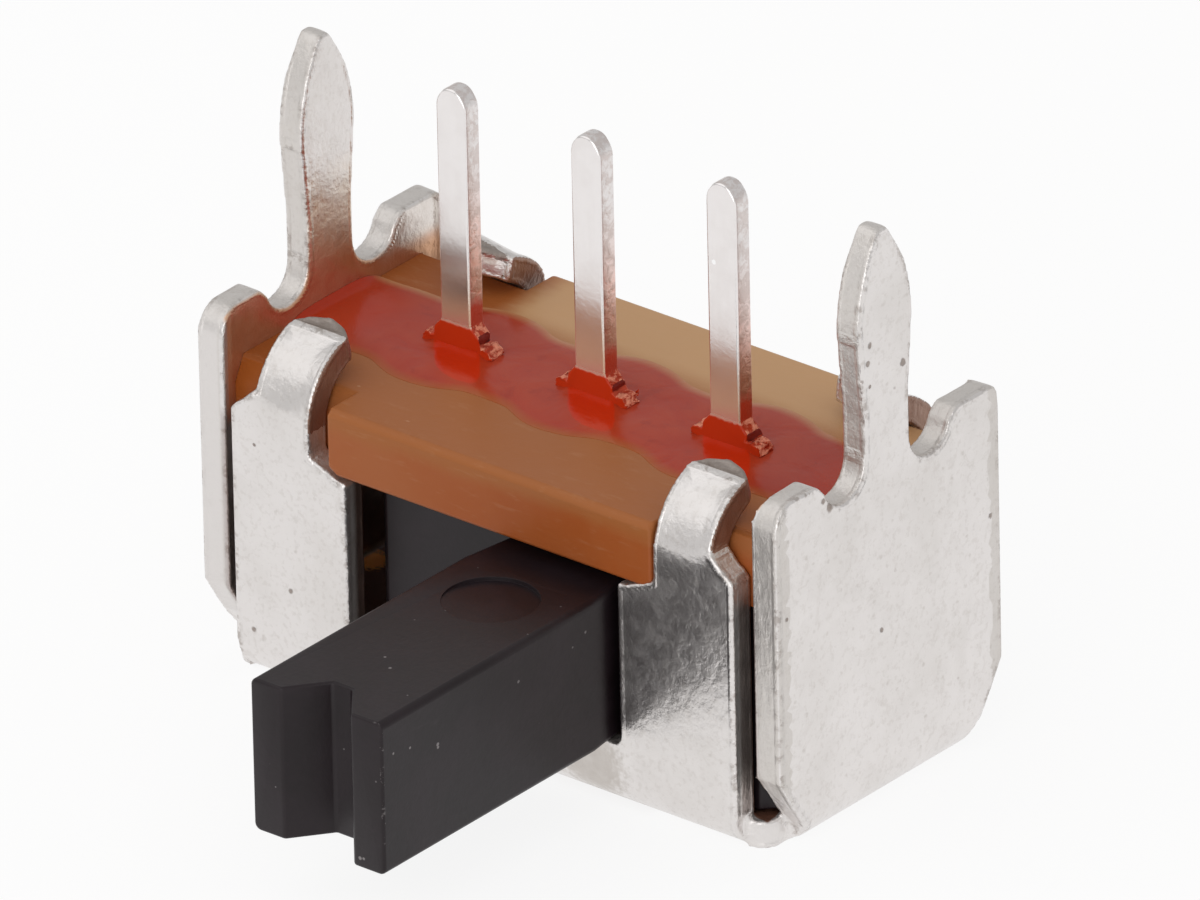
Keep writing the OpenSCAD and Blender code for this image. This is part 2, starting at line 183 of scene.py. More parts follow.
class Graph:
    """The node tree of one finish, built up by short calls.

    Attributes:
        speck_core: The share of a speck's radius that it covers fully.
        speck_edge: The width of the step that picks the cells, as a share of them all.
        speck_grain: How much finer than the cells the grain is that ruffles a speck.
        spot_core: The share of a spot's radius that it covers fully.
        spot_grain: How many grains in a millimetre ruffle a spot.
        ruffle_detail: How many finer layers the ruffling grain has.
    """

    speck_core: float = 0.35
    speck_edge: float = 0.01
    speck_grain: float = 4.0
    spot_core: float = 0.5
    spot_grain: float = 14.0
    ruffle_detail: float = 2.0

    def __init__(self, name: str) -> None:
        """Starts a material with its shader and its output.

        Args:
            name: The material's name.
        """
        self.material = bpy.data.materials.new(name)
        self.material.use_nodes = True
        self.tree = self.material.node_tree
        self.shader = self.tree.nodes["Principled BSDF"]

    def node(self, kind: str, settings: dict[str, Any] | None = None, **inputs: Any) -> bpy.types.Node:
        """Adds a node of any type.

        Args:
            kind: The node's type.
            settings: Its own settings, which are set before its sockets.
            **inputs: Values, sockets or Values for its inputs, by name or by number.

        Returns:
            The new node.
        """
        made = self.tree.nodes.new(kind)
        for name, value in (settings or {}).items():
            setattr(made, name, value)
        for name, value in inputs.items():
            self.feed(made.inputs[int(name) if name.isdigit() else name], value)
        return made

    def feed(self, socket: bpy.types.NodeSocket, value: Any) -> None:
        """Links a socket to a Value or a socket, or sets it to a plain value.

        Args:
            socket: The socket.
            value: What it is fed.
        """
        if isinstance(value, Value):
            value = value.socket
        if isinstance(value, bpy.types.NodeSocket):
            self.tree.links.new(value, socket)
        elif isinstance(value, tuple) and len(value) == 3 and len(socket.default_value) == 4:
            socket.default_value = (*value, 1.0)
        else:
            socket.default_value = value

    @cached_property
    def place(self) -> bpy.types.NodeSocket:
        """The point on the surface, in millimetres.

        Returns:
            The socket that gives it.
        """
        where = self.node("ShaderNodeTexCoord").outputs["Object"]
        scaled = self.node("ShaderNodeVectorMath", {"operation": "SCALE"}, **{"0": where, "Scale": 1 / MM})
        return scaled.outputs[0]

    @cached_property
    def axes(self) -> tuple[Value, Value, Value]:
        """The point's X, Y and Z in millimetres, each as a value."""
        across, along, height = self.node("ShaderNodeSeparateXYZ", **{"0": self.place}).outputs
        return Value(self, across), Value(self, along), Value(self, height)

    def mark(self, name: str) -> Value:
        """A number that the bench kept on the mesh."""
        return Value(self, self.node("ShaderNodeAttribute", {"attribute_name": name}).outputs["Fac"])

    def _stretched(self, stretch: Point) -> bpy.types.NodeSocket:
        """The point, with each axis multiplied by a factor."""
        made = self.node("ShaderNodeVectorMath", {"operation": "MULTIPLY"}, **{"0": self.place, "1": stretch})
        return made.outputs[0]

    def grain(self, per_mm: float, detail: float = 3.0, rough: float = 0.5, twist: float = 0.0,
              stretch: Point = EVEN) -> Value:
        """Soft noise from 0 to 1.

        Args:
            per_mm: How many grains there are in a millimetre.
            detail: How many finer layers it has.
            rough: How strong the finer layers are.
            twist: How much the grains are pulled about.
            stretch: A factor on each axis; under 1 draws the grains out along it.

        Returns:
            The noise.
        """
        made = self.node("ShaderNodeTexNoise", {"noise_dimensions": "3D"}, Vector=self._stretched(stretch),
                         Scale=per_mm, Detail=detail, Roughness=rough, Distortion=twist)
        return Value(self, made.outputs["Fac"])

    def specks(self, per_mm: float, radius: float, share: float, ragged: float = 0.3,
               stretch: Point = EVEN) -> Value:
        """Scattered specks.

        Args:
            per_mm: Cells per millimetre, each of which may hold a speck.
            radius: A speck's radius as a share of its cell.
            share: The share of the cells that hold one.
            ragged: How far its outline strays, as a share of the cell.
            stretch: A factor on each axis.

        Returns:
            1 on a speck and 0 elsewhere, with soft edges.
        """
        cells = self.node("ShaderNodeTexVoronoi", {"feature": "F1"}, Vector=self._stretched(stretch),
                          Scale=per_mm)
        chosen = Value(self, self.node("ShaderNodeSeparateColor", **{"0": cells.outputs["Color"]}).outputs[0])
        ruffle = (self.grain(per_mm * self.speck_grain, self.ruffle_detail) - 0.5) * ragged
        away = Value(self, cells.outputs["Distance"]) + ruffle
        held = chosen.rise(1 - share, 1 - share + self.speck_edge)
        return away.rise(radius, radius * self.speck_core) * held

    def _spot(self, where: Point, radius: float) -> Value:
        """One soft, ruffled spot.

        Args:
            where: The spot's middle in millimetres.
            radius: Its radius in millimetres.

        Returns:
            1 in the spot and 0 elsewhere.
        """
        made = self.node("ShaderNodeVectorMath", {"operation": "DISTANCE"}, **{"0": self.place, "1": where})
        ruffle = (self.grain(self.spot_grain, self.ruffle_detail) - 0.5) * radius
        return (Value(self, made.outputs["Value"]) + ruffle).rise(radius, radius * self.spot_core)

    def spots(self, *places: Spot) -> Value:
        """Soft spots at their places.

        Args:
            *places: Pairs of a spot's middle and its radius, in millimetres.

        Returns:
            1 in a spot and 0 elsewhere; where spots overlap, they add up.
        """
        first, *others = [self._spot(*place) for place in places]
        return sum(others, start=first)

    def blend(self, mask: Value | float, under: Any, over: Any) -> bpy.types.NodeSocket:
        """Lays one colour over another where a mask is 1."""
        # By number, because the Mix node's number and colour sockets share their names.
        made = self.node("ShaderNodeMix", {"data_type": "RGBA"}, **{"0": mask, "6": under, "7": over})
        return made.outputs[2]

    def coats(self, ground: Any, *coats: tuple[Value | float, Any]) -> bpy.types.NodeSocket:
        """Lays coats of colour over one another.

        Args:
            ground: The lowest colour.
            *coats: Pairs of a mask, with how strong its coat is, and the coat's colour, from the lowest up.

        Returns:
            The colour that shows.
        """
        for mask, over in coats:
            ground = self.blend(mask, ground, over)
        return ground

    def relief(self, *layers: tuple[Value, float]) -> bpy.types.NodeSocket:
        """Turns layers of relief into one bumped normal.

        Args:
            *layers: Pairs of a height from 0 to 1 and its depth in millimetres.

        Returns:
            The normal.
        """
        first, *others = [layer * depth for layer, depth in layers]
        height = sum(others, start=first)
        return self.node("ShaderNodeBump", Strength=1.0, Distance=MM, Height=height).outputs["Normal"]

    def finish(self, colour: Any, roughness: Any, normal: bpy.types.NodeSocket | None = None,
               metallic: Any = 0.0, **uniform: Any) -> bpy.types.Material:
        """Feeds the shader.

        Args:
            colour: The base colour.
            roughness: The roughness.
            normal: The bumped normal.
            metallic: How metallic the surface is.
            **uniform: Values that are the same all over, by the socket's name with _ for a space.

        Returns:
            The finished material.
        """
        for name, value in (("Base Color", colour), ("Roughness", roughness), ("Metallic", metallic)):
            self.feed(self.shader.inputs[name], value)
        if normal is not None:
            self.feed(self.shader.inputs["Normal"], normal)
        for name, value in uniform.items():
            self.shader.inputs[name.replace("_", " ")].default_value = value
        return self.material


# ------------------------------------------------------------------ finishes


class Finish(Protocol):
    """What a piece can be dressed in."""

    def material(self) -> bpy.types.Material:
        """Builds the material."""


@dataclass(frozen=True)
class Zone:
    """A part of the surface that soft steps bound.

    Attributes:
        across: Steps along the terminal row, each from where it is 0 to where it is 1.
        along: Steps from front to back.
        height: Steps upwards.
        both_ends: Whether the zone has a twin at the row's other end.
        both_faces: Whether it has a twin at the back.
    """

    across: tuple[Span, ...] = ()
    along: tuple[Span, ...] = ()
    height: tuple[Span, ...] = ()
    both_ends: bool = True
    both_faces: bool = True

    def mask(self, graph: Graph) -> Value:
        """Draws the zone.

        Args:
            graph: The finish's graph.

        Returns:
            1 in the zone and 0 outside it.
        """
        across, along, height = graph.axes
        sides = ((abs(across) if self.both_ends else across, self.across),
                 (abs(along) if self.both_faces else along, self.along), (height, self.height))
        first, *rest = [axis.rise(*step) for axis, steps in sides for step in steps]
        return math.prod(rest, start=first)


@dataclass(frozen=True)
class TinnedSteel:
    """Bright tin on cold-rolled steel: mottled, freckled, dull where it was cut or struck.

    A painted warm reflection of the base lies on the walls' inner faces above it, and the can's inside is
    painted in deep shade, with brown and amber reflections of the base painted in.

    Attributes:
        inner_faces: The side walls' inner faces above the base, under the painted reflection.
        rear_ears: Their rear parts, where the painted reflection is thin.
        far_edge: The bright lower part of the far side wall's front edge.
        inside: The can's inside, painted with deep shade and with brown and amber reflections of the base;
            inside_corners keeps that off the upright corners.
        slits: The edges of the slits between the walls, darkened with painted shade.
        window: The window's edges, darkened with painted shade.
        film_top: Where the painted reflection sets in on its way down, and film_foot where it darkens at the
            base.
        floor: Where the painted deep shade turns to the lighter painted brown reflection above the can's
            floor.
        tab_root: Where a tab's shaded side begins, if it isn't a tab_inner_side.
    """

    bright: Colour = (0.80, 0.765, 0.748)
    cloudy: Colour = (0.725, 0.69, 0.665)
    stain: Colour = (0.54, 0.495, 0.455)
    cut: Colour = (0.66, 0.62, 0.58)
    struck: Colour = (0.33, 0.28, 0.25)
    dirt: Colour = (0.20, 0.145, 0.115)
    # Painted warm reflection of the base on the walls' inner faces, and the darker orange it turns to near
    # the base.
    film: Colour = (0.88, 0.75, 0.62)
    film_at_base: Colour = (0.68, 0.39, 0.235)
    # Painted deep shade, on the can's floor and on the edges of the window and the slits.
    dim: Colour = (0.15, 0.065, 0.04)
    # Painted brown reflection of the base, inside the can.
    lining: Colour = (0.42, 0.19, 0.115)
    # Painted amber reflection of the base, inside the can.
    amber: Colour = (0.95, 0.36, 0.075)
    shade: Colour = (0.30, 0.155, 0.10)
    # A darker, stain-coloured patch low on the front wall, under the knob.
    dull_place: Spot = ((1.6, -2.15, 0.5), 0.6)
    rubbed_corner: Spot = ((4.15, -2.0, 0.3), 0.6)
    # Where the painted amber reflections lie.
    amber_places: tuple[Spot, ...] = (((-3.95, 0.57, 0.75), 0.2), ((-3.85, 0.45, 0.36), 0.28))
    nicks: tuple[Spot, ...] = (
        ((4.3, -1.05, 4.2), 0.075), ((4.3, -1.17, 4.32), 0.05), ((4.3, -1.86, 3.09), 0.035),
        ((4.3, -0.29, 5.95), 0.05), ((4.3, -0.33, 5.73), 0.045), ((4.3, -0.3, 5.43), 0.03),
        ((4.3, -0.16, 2.25), 0.04), ((4.3, 1.84, 2.9), 0.045), ((4.3, 0.3, 5.5), 0.06),
        ((-3.37, -2.15, 3.07), 0.03), ((-2.88, -2.15, 1.33), 0.045), ((-3.45, -2.15, 0.65), 0.04))
    inner_faces: Zone = Zone(((3.99, 3.96), (3.8, 3.88)), ((1.96, 1.9),), ((3.1, 3.4),))
    rear_ears: Zone = Zone((), ((0.6, 1.0),), ((3.9, 4.25),), both_faces=False)
    far_edge: Zone = Zone(((-3.96, -4.02),), ((-1.6, -1.75),), ((4.6, 4.2),),
                          both_ends=False, both_faces=False)
    inside: Zone = Zone(((3.94, 3.91),), ((1.84, 1.81),), ((3.35, 3.15),))
    slits: Zone = Zone(((3.99, 3.96), (3.4, 3.6)), ((2.06, 2.0),), ((3.4, 3.1), (0.42, 0.5)))
    window: Zone = Zone(((2.4, 2.2),), ((-2.03, -1.93), (-1.0, -1.2)), ((3.1, 3.0),), both_faces=False)
    inside_corners: Span = (5.745, 5.71)
    film_top: Span = (6.3, 5.0)
    film_foot: Span = (4.95, 4.25)
    floor: Span = (0.4, 0.55)
    tab_root: Span = (3.7, 3.74)
    tab_inner_side: Span = (3.0, 2.9)

    def material(self) -> bpy.types.Material:
        """Builds the material.

        Returns:
            The material.
        """
        graph = Graph("tinned_steel")
        across, along, height = graph.axes
        sheared, pressed, edge = graph.mark("sheared"), graph.mark("struck"), graph.mark("edge")
        clouds = graph.grain(0.9, 4.0, 0.6, 0.4)
        mottle = graph.grain(4.5, 4.0, 0.62, 0.3)
        fine = graph.grain(15.0, 3.0, 0.6)
        torn = graph.grain(7.0, 4.0, 0.65, 0.3, (1.0, 1.0, 0.3))
        freckles = graph.specks(3.4, 0.17, 0.22, 0.35) + graph.specks(6.5, 0.22, 0.14, 0.4)
        pits = graph.specks(2.1, 0.07, 0.12, 0.12)
        smudges = graph.grain(2.6, 5.0, 0.7, 1.2).rise(0.56, 0.7)
        nicks, corner = graph.spots(*self.nicks), graph.spots(self.rubbed_corner)
        rear = self.rear_ears.mask(graph)
        # Painted warm reflection of the base on the side walls' inner faces: thin on the rear ears, stronger
        # lower down, darker near the base.
        film = self.inner_faces.mask(graph) * (1.0 - rear * 0.75)
        film = film * (height + mottle * 0.8).rise(*self.film_top)
        reflection_colour = graph.blend((height + rear * 0.8).rise(*self.film_foot), self.film, self.film_at_base)
        # Painted shade inside the can, with a painted brown reflection of the base above its floor and
        # painted amber reflections of it.
        inside = self.inside.mask(graph) * (abs(across) + abs(along)).rise(*self.inside_corners)
        lining = graph.coats(self.dim, (height.rise(*self.floor), self.lining),
                             (graph.spots(*self.amber_places).least(1.0), self.amber))
        tab_side = graph.mark("tab_side") * (height.rise(*self.tab_root)
                                             + abs(across).rise(*self.tab_inner_side)).least(1.0)
        colour = graph.coats(
            self.bright,
            (clouds.rise(0.35, 0.7) * 0.7, self.cloudy),
            (mottle.rise(0.55, 0.8) * 0.45, self.cloudy),
            (sheared * (0.3 + torn * 0.6).least(1.0), self.cut),
            (edge * mottle.rise(0.5, 0.62) * fine.rise(0.4, 0.55) * 0.6, self.struck),
            ((freckles * 0.28 + smudges * 0.22).least(1.0), self.stain),
            ((pressed * (0.75 + mottle * 0.4)).least(1.0), self.struck),
            ((pits * 0.55 + nicks * 0.75).least(1.0), self.dirt),
            (fine.rise(0.5, 0.68) * 0.24, self.stain),
            # Painted warm reflection of the base.
            (film, reflection_colour),
            # Darker, stain-coloured patch under the knob.
            (graph.spots(self.dull_place) * (0.5 + mottle * 0.5), self.stain),
            ((sheared * self.far_edge.mask(graph) * 0.8 + corner).least(1.0), self.bright),
            # Painted shade and reflections inside the can.
            (inside, lining),
            (tab_side * 0.85, self.shade),
            # Painted shade on the window's and the slits' edges.
            ((self.window.mask(graph) * 0.85 + self.slits.mask(graph) * 0.5).least(1.0), self.dim))
        haze = mottle.rise(0.42, 0.62) * (0.4 + fine * 1.2)
        dulled = film * 0.12 + sheared * 0.16 + inside * 0.7 + haze * 0.07 + corner * 0.25
        roughness = (0.23 + clouds * 0.05 + mottle * 0.1 + sheared * 0.1 + pressed * 0.2 + freckles * 0.08
                     + inside * 0.25)
        normal = graph.relief((fine, 0.0042), (mottle, 0.012), (edge * mottle, 0.022),
                              (sheared * torn, 0.016), (1.0 - (pits + nicks).least(1.0), 0.008))
        return graph.finish(colour, roughness, normal, (0.96 - dulled).most(0.0))


@dataclass(frozen=True)
class TinnedBrass:
    """Tinned strip: bright faces, grainy sheared sides, a red coat of resin on the foot, and a painted warm
    reflection of the base on the faces just above it.

    The heights of low_part and of each edge are counted from the top of the foot.
    """

    tin: Colour = (0.86, 0.825, 0.815)
    dull_tin: Colour = (0.80, 0.76, 0.745)
    smear: Colour = (0.55, 0.42, 0.37)
    copper: Colour = (0.97, 0.40, 0.26)
    rust: Colour = (0.46, 0.20, 0.11)
    film: Colour = (0.52, 0.035, 0.006)
    # Painted warm reflection of the base, on the pin's faces just above the foot.
    smoke: Colour = (0.95, 0.79, 0.63)
    shade: Colour = (0.20, 0.012, 0.006)
    foot_top: float = 4.24
    low_part: Span = (2.3, 0.3)
    film_edge: Span = (0.02, -0.03)
    stain_edge: Span = (0.44, 0.2)
    smoke_edge: Span = (1.25, 0.35)
    rust_edge: Span = (1.4, 0.5)
    rustier: Span = (-2.4, 2.4)
    fleck: Spot = ((1.884, -0.125, 6.213), 0.04)

    def material(self) -> bpy.types.Material:
        """Builds the material.

        Returns:
            The material.
        """
        graph = Graph("tinned_brass")
        across, _, height = graph.axes
        above = height - self.foot_top
        sheared, chip, under = graph.mark("sheared"), graph.mark("chip"), graph.mark("under_shoulder")
        clouds = graph.grain(2.2, 4.0, 0.6)
        fine = graph.grain(20.0, 3.0, 0.6)
        torn = graph.grain(11.0, 4.0, 0.7, 0.4, (1.0, 0.7, 0.8))
        drawn = graph.grain(9.0, 3.0, 0.55, 0.0, (1.0, 1.0, 0.06))
        low = sheared * above.rise(*self.low_part)
        film = (above + (fine - 0.5) * 0.05).rise(*self.film_edge) * (1.0 - sheared)
        stained = (above + (torn - 0.5) * 0.35).rise(*self.stain_edge) * sheared
        # Painted warm reflection of the base, stronger near the foot, where the tin is a little less
        # metallic.
        warm_reflection = (above + clouds * 0.5).rise(*self.smoke_edge) * (1.0 - sheared)
        rusty = above.rise(*self.rust_edge) * (0.3 + across.rise(*self.rustier) * 0.6)
        colour = graph.coats(
            self.tin,
            (clouds.rise(0.42, 0.7) * 0.5 + drawn.rise(0.5, 0.75) * 0.3, self.dull_tin),
            # Painted warm reflection of the base.
            (warm_reflection, self.smoke),
            (torn.rise(0.42, 0.56) * (sheared * 0.35 + low * 0.55), self.smear),
            (low * (0.2 + torn.rise(0.6, 0.35) * 0.45), self.copper),
            (low * rusty, self.rust),
            (graph.spots(self.fleck), WHITE),
            (stained * 0.9, self.film),
            (chip * torn.rise(0.43, 0.56) * 0.9, self.copper),
            (film, self.film),
            (under, self.shade))
        bare = (1.0 - film - warm_reflection * 0.22 - stained * 0.6 * (1.0 - chip) - under).most(0.0)
        roughness = 0.16 + clouds * 0.08 + sheared * (0.1 + torn * 0.2) + chip * 0.12
        normal = graph.relief((fine, 0.0009), (clouds, 0.002), (torn * sheared, 0.016), (torn * chip, 0.03))
        return graph.finish(colour, roughness, normal, bare, Specular_IOR_Level=0.2)


@dataclass(frozen=True)
class Phenolic:
    """Brown moulded board: orange at its front, pinkish tan on top, with a painted glow of backlight towards
    the back and painted shade at the rear left and at the left end.

    The heights of the tan and of the painted backlight are counted from the board's top.
    """

    deep: Colour = (0.36, 0.086, 0.018)
    warm: Colour = (0.38, 0.115, 0.036)
    tan: Colour = (0.37, 0.124, 0.036)
    # Painted glow of light coming through the back of the board.
    hazy: Colour = (0.58, 0.335, 0.165)
    # Painted shade, at the rear left and at the left end.
    burnt: Colour = (0.34, 0.084, 0.012)
    fleck: Colour = (0.55, 0.33, 0.19)
    top: float = 3.87
    tan_from: Span = (-0.34, -0.12)
    hazy_top: Span = (-0.5, -0.1)
    warmer: Span = (0.5, -1.8)
    hazy_from: Span = (0.6, 1.25)
    burnt_rear: Span = (0.2, 0.9)
    burnt_side: Span = (-1.95, -2.45)
    burnt_end: Span = (-3.0, -3.7)

    def material(self) -> bpy.types.Material:
        """Builds the material.

        Returns:
            The material.
        """
        graph = Graph("phenolic")
        across, along, height = graph.axes
        from_top = height - self.top
        clouds = graph.grain(0.9, 4.0, 0.55, 0.4)
        fibres = graph.grain(7.0, 3.0, 0.6, 0.2, (0.35, 1.0, 1.6))
        fine = graph.grain(22.0, 2.0, 0.5)
        flecks = graph.specks(5.0, 0.12, 0.12, 0.3, (0.6, 1.0, 1.0))
        wave = (clouds - 0.5) * 0.2 + (fibres - 0.5) * 0.06
        # Painted shade at the rear left, where the hump and the leg shade the board.
        burnt = (across + wave * 2.0).rise(*self.burnt_side) * along.rise(*self.burnt_rear)
        colour = graph.coats(
            self.deep,
            ((clouds.rise(0.3, 0.7) * 0.5 + across.rise(*self.warmer) * 0.6).least(1.0), self.warm),
            ((from_top + wave).rise(*self.tan_from), self.tan),
            # Painted backlight glow towards the back of the top.
            ((along + wave).rise(*self.hazy_from) * from_top.rise(*self.hazy_top), self.hazy),
            # Painted shade at the rear left and at the left end, beside the can's wall.
            ((burnt * 0.9 + across.rise(*self.burnt_end)).least(0.92), self.burnt),
            (fibres.rise(0.55, 0.8) * 0.16, self.fleck),
            (flecks * 0.45, self.fleck))
        roughness = 0.3 + clouds * 0.1 + fibres * 0.1
        normal = graph.relief((fine, 0.0008), (fibres, 0.003), (clouds, 0.012))
        return graph.finish(colour, roughness, normal, IOR=1.5, Specular_IOR_Level=0.2)


@dataclass(frozen=True)
class SealingResin:
    """Red sealing resin with a dusty bloom and a painted sheen of reflected light, clear and deep red in
    front of each terminal.
    """

    # These two colours are the resin's dusty bloom with a painted sheen of reflected light in them.
    bloom: Colour = (0.395, 0.040, 0.018)
    dusty: Colour = (0.425, 0.055, 0.023)
    deep: Colour = (0.31, 0.032, 0.018)
    clear: Colour = (0.54, 0.028, 0.004)
    halo: Colour = (0.43, 0.040, 0.010)
    wall: Colour = (0.45, 0.032, 0.006)
    shore_front: Colour = (0.375, 0.098, 0.028)
    shore_rear: Colour = (0.50, 0.22, 0.10)
    pool_half: float = 0.35
    pool_reach: float = 0.39
    pool_middle: float = 0.2
    pool_lean: float = 0.83
    pool_start: float = 0.11
    deep_end: Span = (2.2, 3.3)
    pool_halo: Span = (1.7, 1.0)
    pool_edge: Span = (1.06, 0.92)
    shore_turn: Span = (-0.2, 0.2)
    near_end: Zone = Zone(((3.0, 3.6),), both_ends=False)
    far_end: Zone = Zone(((-2.9, -3.6),), ((0.85, 0.4),), both_ends=False, both_faces=False)

    def pool(self, across: Value, along: Value, place: int) -> Value:
        """How far a point is from the middle of the clear pool at a terminal's foot.

        Args:
            across: The point's place along the row.
            along: The point's place from front to back.
            place: The terminal's place in the row.

        Returns:
            The distance, which is 1 at the pool's edge.
        """
        forward = -1.0 * (along + self.pool_start)
        beside = abs(across - place * PITCH - forward * self.pool_lean) / self.pool_half
        before = abs(forward - self.pool_middle) / self.pool_reach
        return (beside ** 3.0 + before ** 3.0) ** (1.0 / 3.0)

    def material(self) -> bpy.types.Material:
        """Builds the material.

        Returns:
            The material.
        """
        graph = Graph("sealing_resin")
        across, along, _ = graph.axes
        rim = graph.mark("rim")
        swirl = graph.grain(1.5, 4.0, 0.55, 0.8)
        patch = graph.grain(3.5, 3.0, 0.6, 0.4)
        fine = graph.grain(9.0, 3.0, 0.55)
        left, middle, right = (self.pool(across, along, place) for place in ROW)
        pools = left.least(middle).least(right) + (patch - 0.5) * 0.16
        shore = graph.blend(along.rise(*self.shore_turn), self.shore_front, self.shore_rear)
        beside_wall = self.far_end.mask(graph) + self.near_end.mask(graph) * 0.4
        colour = graph.coats(
            # The dusty bloom, with its painted sheen.
            self.bloom,
            (swirl.rise(0.35, 0.7) * 0.8, self.dusty),
            (patch.rise(0.55, 0.75) * 0.5, self.deep),
            (across.rise(*self.deep_end) * 0.6, self.deep),
            (pools.rise(*self.pool_halo) * 0.75, self.halo),
            ((rim + (patch - 0.5) * rim * 0.8).least(1.0), shore),
            (beside_wall.least(0.92), self.wall),
            (pools.rise(*self.pool_edge), self.clear))
        roughness = 0.12 + swirl * 0.1 + fine * 0.06
        normal = graph.relief((fine, 0.001), (swirl, 0.015))
        return graph.finish(colour, roughness, normal, IOR=1.5, Specular_IOR_Level=0.17)


@dataclass(frozen=True)
class BlackPlastic:
    """Black moulded plastic with a satin skin, pale dust, and a few rubbed places."""

    black: Colour = (0.0115, 0.0066, 0.0082)
    worn: Colour = (0.0235, 0.0150, 0.0190)
    dust: Colour = (0.36, 0.33, 0.33)
    rubbed_tip: Zone = Zone(((1.5, 1.7),), ((-6.05, -6.15),), both_ends=False, both_faces=False)
    lint: tuple[Spot, ...] = (
        ((1.157, -5.163, 2.85), 0.026), ((0.938, -4.989, 2.85), 0.02), ((1.97, -5.313, 2.19), 0.028),
        ((1.97, -5.313, 2.15), 0.026), ((1.97, -5.805, 2.349), 0.022), ((1.97, -6.1, 2.40), 0.02),
        ((1.604, -6.3, 1.027), 0.028), ((1.66, -6.3, 1.035), 0.026))

    def material(self) -> bpy.types.Material:
        """Builds the material.

        Returns:
            The material.
        """
        graph = Graph("black_plastic")
        clouds = graph.grain(1.0, 5.0, 0.6, 0.5)
        fine = graph.grain(14.0, 3.0, 0.6)
        powder = graph.specks(3.0, 0.07, 0.16, 0.1) + graph.specks(8.0, 0.12, 0.05, 0.1)
        scuffs = graph.grain(5.0, 4.0, 0.7, 0.3, (1.0, 0.3, 1.0)).rise(0.6, 0.8)
        chafed = graph.grain(6.0, 4.0, 0.7).rise(0.58, 0.66)
        rubbed = graph.mark("edge") * self.rubbed_tip.mask(graph) * chafed
        colour = graph.coats(
            self.black,
            (clouds.rise(0.35, 0.75) * 0.6, self.worn),
            (scuffs * 0.5, self.worn),
            (rubbed * 0.3, self.dust),
            ((powder * 0.45 + graph.spots(*self.lint) * 0.6).least(1.0), self.dust))
        roughness = 0.3 + clouds * 0.1 + fine * 0.1 - scuffs * 0.06
        normal = graph.relief((fine, 0.0016), (clouds, 0.006), (powder, 0.004))
        return graph.finish(colour, roughness, normal, IOR=1.5, Specular_IOR_Level=0.31)


@dataclass(frozen=True)
class SpringStrip:
    """Plain spring strip of the moving contact, rubbed bright where it slides."""

    brass: Colour = (0.72, 0.50, 0.25)
    rubbed: Colour = (0.86, 0.72, 0.50)

    def material(self) -> bpy.types.Material:
        """Builds the material.

        Returns:
            The material.
        """
        graph = Graph("spring_strip")
        rolled = graph.grain(8.0, 3.0, 0.6, 0.0, (0.1, 1.0, 1.0))
        clouds = graph.grain(2.0, 4.0, 0.6)
        colour = graph.blend(rolled.rise(0.4, 0.7) * 0.6, self.brass, self.rubbed)
        roughness = 0.22 + clouds * 0.12
        return graph.finish(colour, roughness, graph.relief((rolled, 0.001), (clouds, 0.002)), 1.0)


# ------------------------------------------------------------------ the bench


